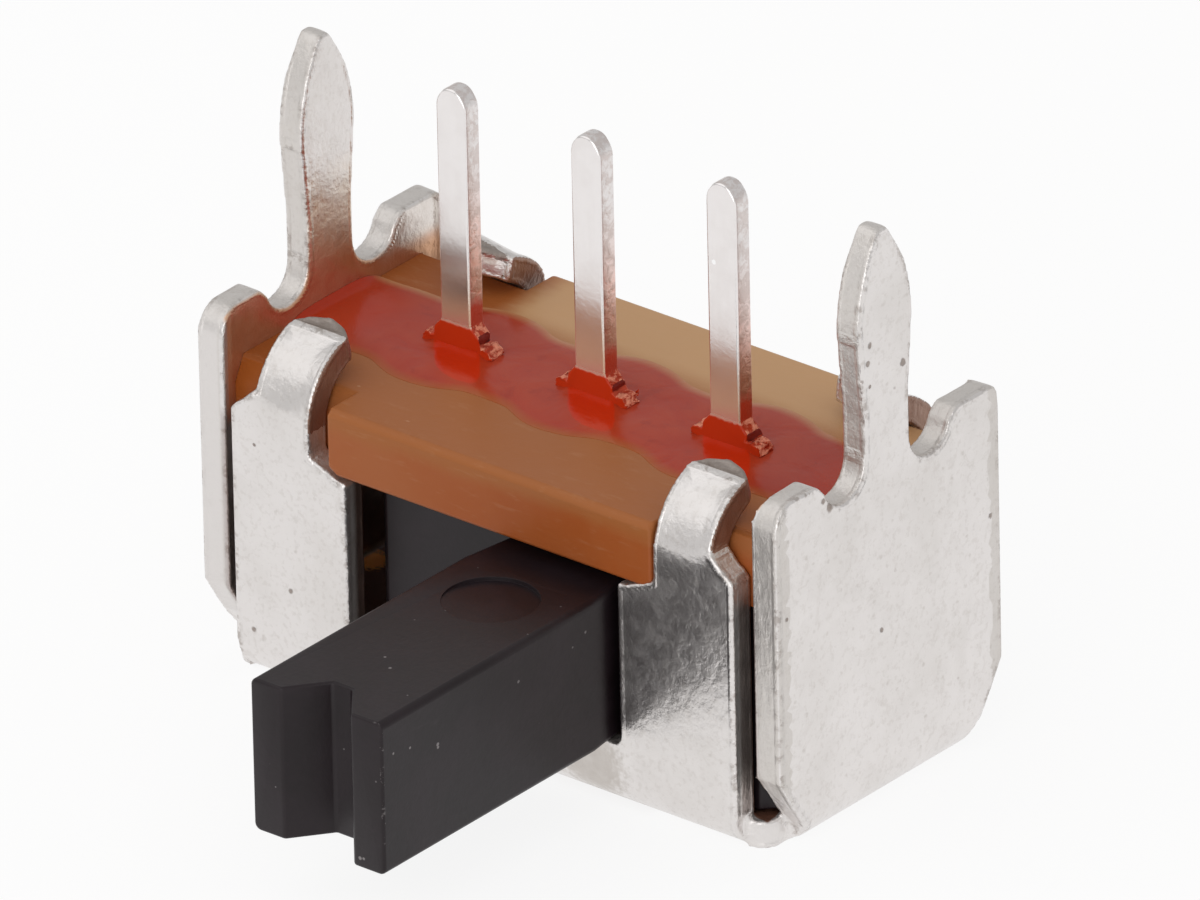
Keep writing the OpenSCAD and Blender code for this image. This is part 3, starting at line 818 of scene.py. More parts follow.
class Bench:
    """One piece on the modelling bench, shaped with mesh operators.

    Attributes:
        merged: How near two loose corners are joined.
        flat_turn: The angle under which faces count as one flat face.
        run_turn: The angle under which two edges that meet belong to one run.
        least_tangent: The least tangent that a turn counts with, where a run goes nearly straight on.
        room_share: The share of a neighbouring edge that a rounding may take up.
        segments: How many faces go round a rounded edge.
        crisp: The rounding of an edge that stays crisp.
        dot_step: How far apart the chalk dots are, as a share of the rounding's width.
        stray: How far from the dots a corner may lie, as a share of that width.
        tries: How often the widths may be eased.
        ease: What an eased width is multiplied by.
        rubbing: How far one rub moves a corner towards its neighbours, from 0 to 1.
    """

    merged: float = 0.001
    flat_turn: float = 0.4
    run_turn: float = 35.0
    least_tangent: float = 0.001
    room_share: float = 0.45
    segments: int = 3
    crisp: float = 0.003
    dot_step: float = 0.4
    stray: float = 1.6
    tries: int = 14
    ease: float = 0.7
    rubbing: float = 0.5

    def __init__(self, piece: bpy.types.Object) -> None:
        """Puts a piece on the bench."""
        self.piece = piece

    @classmethod
    def blank(cls, node: str, name: str) -> "Bench":
        """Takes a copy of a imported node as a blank, with its loose triangles joined up.

        Args:
            node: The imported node.
            name: The new piece's name.

        Returns:
            The bench with the blank on it.
        """
        piece = bpy.data.objects.new(name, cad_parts[node].data.copy())
        piece.data.name = name
        bpy.context.scene.collection.objects.link(piece)
        bench = cls(piece)
        with bench.editing(everything=True):
            bpy.ops.mesh.remove_doubles(threshold=cls.merged * MM)
            bpy.ops.mesh.dissolve_limited(angle_limit=math.radians(cls.flat_turn))
        return bench

    def corners(self) -> Iterator[tuple[bpy.types.MeshVertex, Vector]]:
        """Goes through the piece's corners, each with its place in millimetres."""
        for vertex in self.piece.data.vertices:
            yield vertex, vertex.co / MM

    def focus(self) -> None:
        """Selects this piece alone and makes it the active one."""
        bpy.ops.object.select_all(action="DESELECT")
        self.piece.select_set(True)
        bpy.context.view_layer.objects.active = self.piece

    @contextmanager
    def editing(self, everything: bool = False, edges: bool = False) -> Iterator[None]:
        """Opens the piece in edit mode.

        Args:
            everything: Whether all of it is selected first, and not what was picked before.
            edges: Whether edges are selected and not faces.

        Returns:
            A context in which the piece is open.
        """
        self.focus()
        bpy.context.tool_settings.mesh_select_mode = (False, edges, not edges)
        bpy.ops.object.mode_set(mode="EDIT")
        if everything:
            bpy.ops.mesh.select_all(action="SELECT")
        yield
        bpy.ops.object.mode_set(mode="OBJECT")

    def modify(self, kind: str, **settings: Any) -> None:
        """Puts a modifier on the piece and applies it.

        Args:
            kind: The modifier's type.
            **settings: Its settings, by name.
        """
        modifier = self.piece.modifiers.new(kind.lower(), kind)
        for name, value in settings.items():
            setattr(modifier, name, value)
        self.focus()
        bpy.ops.object.modifier_apply(modifier=modifier.name)

    def unpick(self) -> None:
        """Drops the selection."""
        mesh = self.piece.data
        for part in (mesh.vertices, mesh.edges, mesh.polygons):
            part.foreach_set("select", [False] * len(part))

    def pick(self, wanted: FaceTest) -> None:
        """Selects the faces that pass a test.

        Args:
            wanted: The test, on one face.
        """
        self.unpick()
        chosen = [face for face in self.piece.data.polygons if wanted(face)]
        for face in chosen:
            face.select = True

    def pick_edges(self, wanted: EdgeTest) -> None:
        """Selects the edges whose two ends, in millimetres, pass a test.

        Args:
            wanted: The test, on an edge's two ends.
        """
        self.unpick()
        mesh = self.piece.data
        chosen = [edge for edge in mesh.edges
                  if wanted(*(mesh.vertices[end].co / MM for end in edge.vertices))]
        for edge in chosen:
            edge.select = True

    def push(self, wanted: FaceTest, way: Point) -> None:
        """Pushes the faces that pass a test.

        Args:
            wanted: The test.
            way: How far they go along each axis, in millimetres.
        """
        self.pick(wanted)
        with self.editing():
            bpy.ops.transform.translate(value=tuple(part * MM for part in way))

    def score(self, depth: float) -> None:
        """Scores a line right round the piece, at a place from front to back in millimetres."""
        with self.editing(everything=True):
            bpy.ops.mesh.bisect(plane_co=(0.0, depth * MM, 0.0), plane_no=(0.0, 1.0, 0.0))

    def sharp_edges(self) -> list[bpy.types.MeshEdge]:
        """Finds the edges that turn too far to stay smooth.

        Returns:
            The edges.
        """
        mesh = self.piece.data
        sides: dict[tuple[int, int], list[Vector]] = {}
        for face in mesh.polygons:
            for key in face.edge_keys:
                sides.setdefault(key, []).append(face.normal)
        turn = math.cos(math.radians(CREASE))
        return [edge for edge in mesh.edges
                if len(sides[edge.key]) == 2 and sides[edge.key][0].dot(sides[edge.key][1]) < turn]

    def edge_runs(self, sharp: list[bpy.types.MeshEdge],
                  radius: float) -> tuple[dict[int, int], dict[int, float]]:
        """Gathers the sharp edges into smooth runs, and works out how wide each run can be rounded.

        A run needs one width all along, because two widths on a straight stretch never meet.

        Args:
            sharp: The sharp edges.
            radius: The widest rounding wanted, in millimetres.

        Returns:
            The run that each edge's index belongs to, and each run's width in millimetres.
        """
        spots = [at for _, at in self.corners()]
        arms: dict[int, list[tuple[int, Vector]]] = {}
        for edge in sharp:
            start, end = edge.vertices
            arms.setdefault(start, []).append((edge.index, spots[end] - spots[start]))
            arms.setdefault(end, []).append((edge.index, spots[start] - spots[end]))
        run = {edge.index: edge.index for edge in sharp}
        limits: list[tuple[int, float]] = []
        for meeting in arms.values():
            turn = math.pi - meeting[0][1].angle(meeting[1][1]) if len(meeting) == 2 else math.pi
            if turn < math.radians(self.run_turn):
                (one, way), (two, other) = meeting
                first, second = run[one], run[two]
                run.update({index: first for index, name in run.items() if name == second})
                shorter = self.room_share * min(way.length, other.length)
                room = shorter / max(math.tan(turn / 2), self.least_tangent)
                limits += [(one, room), (two, room)]
                continue
            for index, _ in meeting:
                others = [arm.length for other, arm in meeting if other != index]
                limits.append((index, min((self.room_share * length for length in others), default=radius)))
        width = {name: radius for name in run.values()}
        for index, room in limits:
            width[run[index]] = min(width[run[index]], room)
        return run, width

    def chalk(self, edges: list[bpy.types.MeshEdge], step: float) -> tuple[KDTree, list[int]]:
        """Puts chalk dots along edges, so that what strays from them can be found.

        Args:
            edges: The edges.
            step: How far apart the dots are, in millimetres.

        Returns:
            The dots, and the corner that each is nearest to.
        """
        spots = [at for _, at in self.corners()]
        dots: list[tuple[Vector, int]] = []
        for edge in edges:
            start, end = edge.vertices
            count = max(int((spots[end] - spots[start]).length / step), 1)
            dots += [(spots[start].lerp(spots[end], share / count), start if 2 * share < count else end)
                     for share in range(count + 1)]
        tree = KDTree(len(dots))
        for index, (spot, _) in enumerate(dots):
            tree.insert(spot, index)
        tree.balance()
        return tree, [corner for _, corner in dots]

    def strays(self, radius: float, dots: KDTree, corners: list[int]) -> set[int]:
        """Finds the corners that the live rounding throws too far from the edges.

        Args:
            radius: The width of the rounding in millimetres.
            dots: The dots along the sharp edges.
            corners: The corner that each dot is nearest to.

        Returns:
            The indices of the corners that it started from.
        """
        count = len(self.piece.data.vertices)
        rounded = self.piece.evaluated_get(bpy.context.evaluated_depsgraph_get()).data
        thrown: set[int] = set()
        touched = {corner for face in rounded.polygons if face.material_index == 1
                   for corner in face.vertices}
        for index in touched:
            spot = rounded.vertices[index].co / MM
            _, dot, away = dots.find(spot)
            if away > self.stray * radius:
                source = rounded.attributes["source"].data[index].value
                thrown.update({source if 0 <= source < count else corners[dot], corners[dot]})
        return thrown

    def round_edges(self, radius: float, keep: EdgeTest | None = None) -> None:
        """Rounds the edges, as shearing, tumbling or moulding leaves them, and marks the roundings.

        Where a corner would be thrown off its place, the edges that meet there are rounded less.
        The roundings are told from the faces by a second material slot, until they are marked.

        Args:
            radius: The width of the rounding in millimetres.
            keep: A test for the edges that stay crisp.
        """
        mesh = self.piece.data
        sharp = self.sharp_edges()
        run, room = self.edge_runs(sharp, radius)
        ends = {edge.index: tuple(edge.vertices) for edge in sharp}
        dots, corners = self.chalk(sharp, self.dot_step * radius)
        mesh.attributes.new("bevel_weight_edge", "FLOAT", "EDGE")
        mesh.attributes.new("source", "INT", "POINT").data.foreach_set("value", range(len(mesh.vertices)))
        mesh.materials.clear()
        for part in ("faces", "roundings"):
            mesh.materials.append(bpy.data.materials.new(part))
        mesh.polygons.foreach_set("material_index", [0] * len(mesh.polygons))
        bevel = self.piece.modifiers.new("edges", "BEVEL")
        bevel.width = radius * MM
        bevel.segments = self.segments
        bevel.limit_method = "WEIGHT"
        bevel.use_clamp_overlap = False
        bevel.material = 1
        for index, (start, end) in ends.items():
            if keep and keep(mesh.vertices[start].co / MM, mesh.vertices[end].co / MM):
                room[run[index]] = self.crisp
        for _ in range(self.tries):
            weights = mesh.attributes["bevel_weight_edge"].data
            for index, name in run.items():
                weights[index].value = room[name] / radius
            mesh.update_tag()
            thrown = self.strays(radius, dots, corners)
            if not thrown:
                break
            for name in {run[index] for index, pair in ends.items() if thrown.intersection(pair)}:
                room[name] *= self.ease
        log.info("%s: %d edges rounded, %d corners left", self.piece.name, len(room), len(thrown))
        self.focus()
        bpy.ops.object.modifier_apply(modifier=bevel.name)
        self.mark("edge", lambda face: face.material_index == 1)
        mesh.polygons.foreach_set("material_index", [0] * len(mesh.polygons))

    def rub_down(self, grain: float, rounds: int) -> None:
        """Casts the piece in fine grains and rubs it, which rounds every edge however crowded.

        Args:
            grain: The size of a grain in millimetres.
            rounds: How many times it is rubbed.
        """
        self.piece.data.transform(Matrix.Scale(1 / MM, 4))
        self.modify("REMESH", mode="VOXEL", voxel_size=grain)
        self.modify("SMOOTH", factor=self.rubbing, iterations=rounds)
        self.piece.data.transform(Matrix.Scale(MM, 4))

    def rub_more(self, share: Share, rounds: int) -> None:
        """Rubs some places more than the rest.

        Args:
            share: How much of the rubbing reaches a place in millimetres, from 0 to 1.
            rounds: How many times it is rubbed.
        """
        group = self.piece.vertex_groups.new(name="rubbed")
        for vertex, at in self.corners():
            weight = share(at)
            if weight > 0:
                group.add([vertex.index], weight, "REPLACE")
        self.modify("SMOOTH", factor=self.rubbing, iterations=rounds, vertex_group=group.name)
        self.piece.vertex_groups.clear()

    def clear_of(self, dots: KDTree) -> list[float]:
        """How far each corner of the piece is from the chalk dots, in millimetres."""
        return [dots.find(at)[2] for _, at in self.corners()]

    def thin_out(self, away: list[float], least: float, share: float) -> None:
        """Joins up the flat grains that lie clear of the edges, and keeps the fine ones at the edges.

        Args:
            away: How far each corner is from the edges, in millimetres.
            least: How far from the edges the joining starts.
            share: The share of all the faces that is left.
        """
        flat = self.piece.vertex_groups.new(name="flat")
        flat.add([index for index, clear in enumerate(away) if clear > least], 1.0, "REPLACE")
        self.modify("DECIMATE", ratio=share, vertex_group=flat.name)
        self.piece.vertex_groups.clear()

    def shade(self, crease: float) -> None:
        """Shades the piece smooth, apart from its creases.

        Args:
            crease: The least angle of a crease, in degrees.
        """
        self.focus()
        bpy.ops.object.shade_smooth_by_angle(angle=math.radians(crease))

    def smooth(self) -> None:
        """Smooths the roundings and keeps the flat faces flat."""
        self.shade(CREASE)
        self.modify("WEIGHTED_NORMAL", keep_sharp=True)

    def mark(self, name: str, wanted: FaceTest) -> None:
        """Keeps a 1 on the faces that pass a test and a 0 on the others, for the finish to read."""
        marks = self.piece.data.attributes.new(name, "FLOAT", "FACE")
        marks.data.foreach_set("value", [float(wanted(face)) for face in self.piece.data.polygons])

    def mark_corners(self, name: str, amounts: list[float]) -> None:
        """Keeps a number from 0 to 1 on each corner, for the finish to read."""
        self.piece.data.attributes.new(name, "FLOAT", "POINT").data.foreach_set("value", amounts)

    def dress(self, finish: Finish, slot: str, body: Body, *stands_for: str) -> bpy.types.Object:
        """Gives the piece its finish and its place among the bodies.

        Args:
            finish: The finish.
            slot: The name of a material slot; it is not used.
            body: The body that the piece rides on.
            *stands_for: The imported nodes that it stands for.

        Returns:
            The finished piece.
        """
        self.piece.data.materials.clear()
        self.piece.data.materials.append(finish.material())
        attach(self.piece, body.value)
        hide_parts(*stands_for)
        return self.piece


def soft_step(value: float, start: float, end: float) -> float:
    """Goes smoothly from 0 at the start to 1 at the end.

    Args:
        value: The value.
        start: Where 0 ends.
        end: Where 1 begins, on either side of the start.

    Returns:
        A number from 0 to 1.
    """
    share = min(max((value - start) / (end - start), 0.0), 1.0)
    return share * share * (3 - 2 * share)


def in_mm(face: bpy.types.MeshPolygon) -> Vector:
    """A face's middle, in millimetres."""
    return face.center / MM


# ------------------------------------------------------------------ sub-assemblies


@dataclass(frozen=True)
class Tab:
    """How one clinched tab came to rest after the blow.

    Attributes:
        side: Its side along the row and from front to back, -1 or 1 each.
        twist: How far its tip is turned.
        lift: How much higher than the others its tip lies.
        spread: How far its inner edge is squeezed towards the middle.
    """

    side: tuple[int, int]
    twist: float = 0.0
    lift: float = 0.0
    spread: float = 0.0


@dataclass
class Can:
    """The folded steel can with its two legs and four clinched tabs.

    Attributes:
        sheet: The sheet's thickness.
        skin: How far under a rolled face the sheared edge begins.
        edge_on: The most that a sheared face looks along the sheet's thickness.
        side_on: The least that a tab's side looks along the row.
        struck_up: The least that a struck face looks upwards.
        grain: The size of the grains that the can is cast in.
        rubs: How often it is rubbed all over, on its inside, on its tips and on its curves.
        kept: The share of the faces that thinning leaves.
        flat_from: How far from an edge the thinning starts.
        dot_step: How far apart the chalk dots are.
        worn: How far from an edge its wear ends, and where it is full.
        crease: The least angle that stays a crease.
        bend_top: Where the walls have left the floor's bend, for the marks and for the rubbing.
        wall_from: How far from the middle the front and rear walls begin.
        tab_strip: Between which places of the row the tabs lie.
        tab_reach: Where the tabs' own two edges are.
        ear_top: The top of the wall beside a tab.
        seam_start: How far under the bend a tab's seam with the wall begins.
        tab_bend_angle: How far a tab is bent over.
        tab_bend_middle: The depth and the height that it is bent round.
        tab_height: How far above the bend a tab has its full twist and lift.
        tab_tip: Where a tab's tip is blunted, counted from the end of its curve.
        tab_blunting: How much it is blunted.
        curve_margin: How far beside a tab its curve is rubbed.
        curve_from: How far from the middle that begins.
        curve_rise: How far under the bend it begins.
        curve_edge: How far from the edges it begins, and where it is full.
        roll_margin: How far past the sheet's thickness the rolled edges reach.
        roll_depth: How far under the outer face the rolling begins, and where it is full.
        roll_front: How much of it the front and rear walls have.
        roll_tip: Where it begins on a tab's tip, counted from the end of its curve.
        leg_tip: The height of the legs' tips.
        leg_tip_length: How much of them is blunted.
        side_from: How far out the side walls begin.
        hump: Steps up to a side wall's hump, down past it, and out to it from the middle.
        hump_depth: How far under the outer face a hump's blunting grows, and where it is full.
        outer_share: How much of that blunting the outer face has.
        sill: The height that the window's sill is raised to.
        sill_from: The height above which it is raised.
        window_half: Half the window's width.
        burr_from: How far from the middle the side walls' thicker edges begin.
        burr: How much thicker they are.
        wing_half: How far out the front and rear walls' wings reach.
        wing_height: Between which heights the wings' edges are spread.
        wing_spread: How far they are spread.
        press_up: The least that a pressed face looks upwards.
        press_across: The most that it looks along the row.
        press_depth: How deep the punch pressed a tab's tip.
        press_edge: How far from the edge the pressing begins, and where it is full.
        press_ragged: How far that outline strays.
        press_grain: How fine it is, in grains per millimetre.
        dish_depth: How deep a tab's curve is dished.
        dish_edge: How far from the edge the dish begins, and where it is full.
        dish_rise: How far above the bend it begins, and the height where it is full.
        high: The can's highest corner.
        tabs: The four tabs.
    """

    sheet: float = 0.35
    skin: float = 0.03
    edge_on: float = 0.6
    side_on: float = 0.7
    struck_up: float = 0.3
    grain: float = 0.03
    rubs: tuple[int, int, int, int] = (3, 12, 36, 70)
    kept: float = 0.3
    flat_from: float = 0.12
    dot_step: float = 0.02
    worn: Span = (0.085, 0.045)
    crease: float = 50.0
    bend_top: Span = (0.5, 0.6)
    wall_from: float = 1.7
    tab_strip: Span = (2.3, 3.5)
    tab_reach: Span = (2.55, 3.38)
    ear_top: float = 3.73
    seam_start: float = 0.05
    tab_bend_angle: float = 75.0
    tab_bend_middle: Span = (1.15, 3.45)
    tab_height: float = 0.8
    tab_tip: Span = (-0.1, 0.1)
    tab_blunting: float = 0.5
    curve_margin: float = 0.1
    curve_from: float = 1.0
    curve_rise: float = 0.3
    curve_edge: Span = (0.05, 0.17)
    roll_margin: float = 0.05
    roll_depth: Span = (0.08, 0.22)
    roll_front: float = 0.4
    roll_tip: float = -0.15
    leg_tip: float = 7.15
    leg_tip_length: float = 0.35
    side_from: float = 3.8
    hump: tuple[Span, Span, Span] = ((4.2, 4.45), (4.9, 4.7), (1.2, 1.5))
    hump_depth: Span = (0.05, 0.2)
    outer_share: float = 0.35
    sill: float = 0.89
    sill_from: float = 0.7
    window_half: float = 2.02
    burr_from: float = 1.85
    burr: float = 0.055
    wing_half: float = 3.70
    wing_height: Span = (0.4, 3.6)
    wing_spread: float = 0.025
    press_up: float = 0.02
    press_across: float = 0.3
    press_depth: float = 0.022
    press_edge: Span = (0.05, 0.09)
    press_ragged: float = 0.07
    press_grain: float = 9.0
    dish_depth: float = 0.022
    dish_edge: Span = (0.06, 0.24)
    dish_rise: Span = (0.1, 3.9)
    high: Vector = field(default_factory=lambda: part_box("frame")[1] / MM)
    tabs: tuple[Tab, ...] = (Tab((-1, -1)), Tab((1, -1)), Tab((-1, 1), 11.0, 0.03, 0.18),
                             Tab((1, 1), 0.0, -0.08, 0.15))

    def on_tab(self, at: Vector) -> bool:
        """Whether a place is on one of the tabs."""
        beside, end = self.tab_strip
        return beside < abs(at.x) < end and at.z > self.tab_bend_middle[1] and abs(at.y) < self.high.y + HAIR

    def on_seam(self, at: Vector) -> bool:
        """Whether a place is on the seam where a tab's curve leaves the wall beside it."""
        beside = abs(abs(at.x) - self.tab_reach[1]) < HAIR and abs(at.y) > self.wall_from
        return beside and self.tab_bend_middle[1] - self.seam_start < at.z < self.ear_top + HAIR

    def past_bend(self, at: Vector) -> float:
        """How far a place on a tab lies past the end of its curve, in millimetres.

        Args:
            at: The place in millimetres.

        Returns:
            The distance, which is under 0 before the curve's end.
        """
        lean = math.radians(self.tab_bend_angle)
        middle, height = self.tab_bend_middle
        return (middle - abs(at.y)) * math.sin(lean) + (at.z - height) * math.cos(lean)

    def is_tab_side(self, face: bpy.types.MeshPolygon) -> bool:
        """Whether a face is on the side of a tab."""
        return self.on_tab(in_mm(face)) and abs(face.normal.x) > self.side_on

    def is_struck(self, face: bpy.types.MeshPolygon) -> bool:
        """Whether a face is on the tip of a tab, where the punch struck it."""
        at = in_mm(face)
        return self.on_tab(at) and self.past_bend(at) > 0.0 and face.normal.z > self.struck_up

    def is_sheared(self, face: bpy.types.MeshPolygon) -> bool:
        """Whether a face is part of the sheet's sheared edge and not of its rolled faces.

        Args:
            face: The face.

        Returns:
            Whether it is.
        """
        at, out = in_mm(face), face.normal
        edge_on = any(self.skin < deep < self.sheet - self.skin and abs(look) < self.edge_on
                      for deep, look in ((self.high.x - abs(at.x), out.x), (self.high.y - abs(at.y), out.y)))
        return edge_on and at.z > self.bend_top[0] or self.is_tab_side(face)

    def rolled(self, at: Vector) -> float:
        """How much more the blanking die rolled an edge over here, on the can's inside and at the tips.

        Args:
            at: The place in millimetres.

        Returns:
            A share from 0 to 1.
        """
        inside = 0.0
        near, deep = self.roll_depth
        if abs(at.x) > self.high.x - self.sheet - self.roll_margin and at.z > self.bend_top[1]:
            inside = soft_step(abs(at.x), self.high.x - near, self.high.x - deep)
        elif abs(at.y) > self.high.y - self.sheet - self.roll_margin and not self.on_tab(at):
            inside = soft_step(abs(at.y), self.high.y - near, self.high.y - deep) * self.roll_front
        return max(inside, soft_step(self.past_bend(at), self.roll_tip, 0.0) if self.on_tab(at) else 0.0)

    def curved(self, at: Vector) -> float:
        """How far a place lies in a tab's curve, which the punch left without facets.

        Args:
            at: The place in millimetres.

        Returns:
            A share from 0 to 1.
        """
        inner, outer = self.tab_reach
        start = self.tab_bend_middle[1]
        beside = inner - self.curve_margin < abs(at.x) < outer + self.curve_margin
        near_tab = beside and abs(at.y) > self.curve_from
        return soft_step(at.z, start - self.curve_rise, start) if near_tab else 0.0

    def blunted(self, at: Vector) -> float:
        """How much the tumbling blunted a place that sticks out: a leg's tip, a hump or a tab's tip.

        Args:
            at: The place in millimetres.

        Returns:
            A share from 0 to 1.
        """
        tip = soft_step(at.z, self.leg_tip - self.leg_tip_length, self.leg_tip)
        up, down, out = self.hump
        hump = soft_step(at.z, *up) * soft_step(at.z, *down) * soft_step(abs(at.y), *out)
        near, deep = self.hump_depth
        inner = soft_step(abs(at.x), self.high.x - near, self.high.x - deep)
        share = self.outer_share + (1.0 - self.outer_share) * inner
        tab = soft_step(self.past_bend(at), *self.tab_tip) * self.tab_blunting if self.on_tab(at) else 0.0
        return max(tip, hump * share if abs(at.x) > self.side_from else 0.0, tab)

    def settle_tabs(self, bench: Bench) -> None:
        """Turns, lifts and spreads each tab as its own blow left it, and raises the window's sill.

        Args:
            bench: The bench with the can on it.
        """
        inner, outer = self.tab_reach
        for vertex, at in bench.corners():
            if at.y < -self.wall_from and abs(at.x) < self.window_half + HAIR and at.z > self.sill_from:
                vertex.co.z = max(at.z, self.sill) * MM
            if not self.on_tab(at) or abs(at.x) > outer + HAIR:
                continue
            share = min(max((at.z - self.tab_bend_middle[1]) / self.tab_height, 0.0), 1.0)
            for tab in self.tabs:
                if tab.side[0] * at.x > 0 and tab.side[1] * at.y > 0:
                    from_middle = at.x - tab.side[0] * (inner + outer) / 2
                    lift = tab.lift - from_middle * math.tan(math.radians(tab.twist))
                    slide = -tab.side[0] * tab.spread if abs(at.x) < inner + HAIR else 0.0
                    vertex.co += Vector((slide, 0.0, lift)) * share * MM

    def spread_edges(self, bench: Bench) -> None:
        """Thickens the side walls' front and rear edges inwards, and spreads the wings towards them.

        Args:
            bench: The bench with the can on it.
        """
        low, high = self.wing_height
        for side in (-1, 1):
            bench.score(side * self.burr_from)
        for vertex, at in bench.corners():
            side = math.copysign(1.0, at.x)
            on_inner_face = abs(abs(at.x) - self.high.x + self.sheet) < HAIR and at.z > self.bend_top[1]
            if on_inner_face and abs(at.y) > self.burr_from + 2 * HAIR:
                vertex.co.x -= side * self.burr * MM
            if abs(at.y) > self.wall_from and abs(abs(at.x) - self.wing_half) < HAIR and low < at.z < high:
                vertex.co.x += side * self.wing_spread * MM

    def press_tabs(self, bench: Bench, away: list[float]) -> None:
        """Dishes the tabs' curves a little, and presses their tips with a ragged outline.

        Args:
            bench: The bench with the can on it.
            away: How far each corner is from the can's edges, in millimetres.
        """
        start, end = self.dish_rise
        moves: list[tuple[bpy.types.MeshVertex, Vector]] = []
        for (vertex, at), clear in zip(bench.corners(), away):
            out = vertex.normal
            on_side = out.z < self.press_up or abs(out.x) > self.press_across
            if on_side or not self.on_tab(at) or abs(at.x) > self.tab_reach[1]:
                continue
            if self.past_bend(at) > 0:
                ragged = clear + self.press_ragged * noise.noise(at * self.press_grain)
                moves.append((vertex, out * -self.press_depth * soft_step(ragged, *self.press_edge)))
            elif out.y * at.y > 0:
                rise = soft_step(at.z, self.tab_bend_middle[1] + start, end)
                dish = soft_step(clear, *self.dish_edge) * rise
                moves.append((vertex, out * -self.dish_depth * dish))
        for vertex, move in moves:
            vertex.co += move * MM

    def build(self) -> Bench:
        """Works the stamped blank, wears its edges and marks its sheared, struck and worn places.

        Returns:
            The bench with the can on it.
        """
        bench = Bench.blank("frame", "can")
        with bench.editing(everything=True):
            bpy.ops.mesh.quads_convert_to_tris()
        seam = {edge.index for edge in bench.piece.data.edges
                if all(self.on_seam(bench.piece.data.vertices[end].co / MM) for end in edge.vertices)}
        self.settle_tabs(bench)
        self.spread_edges(bench)
        dots, _ = bench.chalk([edge for edge in bench.sharp_edges() if edge.index not in seam], self.dot_step)
        all_over, inside, tips, curves = self.rubs
        bench.rub_down(self.grain, all_over)
        bench.rub_more(self.rolled, inside)
        bench.rub_more(self.blunted, tips)
        bench.rub_more(lambda at: self.curved(at) * soft_step(dots.find(at)[2], *self.curve_edge), curves)
        away = bench.clear_of(dots)
        self.press_tabs(bench, away)
        bench.thin_out(away, self.flat_from, self.kept)
        bench.mark_corners("edge", [soft_step(clear, *self.worn) for clear in bench.clear_of(dots)])
        bench.shade(self.crease)
        bench.mark("sheared", self.is_sheared)
        bench.mark("tab_side", self.is_tab_side)
        bench.mark("struck", self.is_struck)
        return bench

    def dress(self, bench: Bench) -> bpy.types.Object:
        """Tins it."""
        return bench.dress(TinnedSteel(), "tinned_steel", Body.HOUSING, "frame")


@dataclass
class BaseMoulding:
    """The brown base that carries the terminals.

    Attributes:
        edge: The rounding of its edges.
        end_gap: How far its ends are pressed out against the can.
        end_look: The least that an end looks outwards, and lug_look a lug's side.
        lug_from: How far back the rear lugs begin, with lug_side where the stretched side lies.
        lug_stretch: How far that side is moved out.
        front_fill: How far the front block's end, at block_end and from block_from forwards, is moved out.
        front_drop: How far the front lip's underside, from lip_from forwards and under lip_top, is lowered.
        high: The moulding's highest corner.
    """

    edge: float = 0.06
    end_gap: float = 0.018
    end_look: float = 0.9
    lug_look: float = -0.7
    lug_from: float = 1.85
    lug_side: Span = (-2.4, -2.0)
    lug_stretch: float = 0.11
    block_from: float = -1.5
    block_end: Span = (2.1, 2.3)
    front_fill: float = 0.26
    lip_from: float = -1.7
    lip_top: float = 3.2
    front_drop: float = 0.02
    high: Vector = field(default_factory=lambda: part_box("terminal_base")[1] / MM)

    def is_end(self, face: bpy.types.MeshPolygon, side: int) -> bool:
        """Whether a face is the moulding's end on one side, -1 or 1."""
        return face.normal.x * side > self.end_look and in_mm(face).x * side > self.high.x - HAIR

    def is_lug_side(self, face: bpy.types.MeshPolygon) -> bool:
        """Whether a face is the side of the rear lug that is stretched.

        Args:
            face: The face.

        Returns:
            Whether it is.
        """
        at = in_mm(face)
        left, right = self.lug_side
        return face.normal.x < self.lug_look and at.y > self.lug_from and left < at.x < right

    def build(self) -> Bench:
        """Presses the ends against the can, stretches one lug and softens the moulded edges.

        Returns:
            The bench with the moulding on it.
        """
        bench = Bench.blank("terminal_base", "base_moulding")
        for side in (-1, 1):
            bench.push(lambda face: self.is_end(face, side), (side * self.end_gap, 0.0, 0.0))
        bench.push(self.is_lug_side, (-self.lug_stretch, 0.0, 0.0))
        self.fit_front(bench)
        bench.round_edges(self.edge, keep=lambda one, two: min(abs(one.x), abs(two.x)) > self.high.x)
        bench.smooth()
        return bench

    def fit_front(self, bench: Bench) -> None:
        """Fills the front block out to the tab on its right and down to the can's front.

        Args:
            bench: The bench with the moulding on it.
        """
        inner, outer = self.block_end
        for vertex, at in bench.corners():
            if at.y < self.block_from and inner < at.x < outer:
                vertex.co.x += self.front_fill * MM
            if at.y < self.lip_from and abs(at.x) < outer and at.z < self.lip_top:
                vertex.co.z -= self.front_drop * MM

    def dress(self, bench: Bench) -> bpy.types.Object:
        """Colours it."""
        return bench.dress(Phenolic(), "phenolic", Body.HOUSING, "terminal_base")


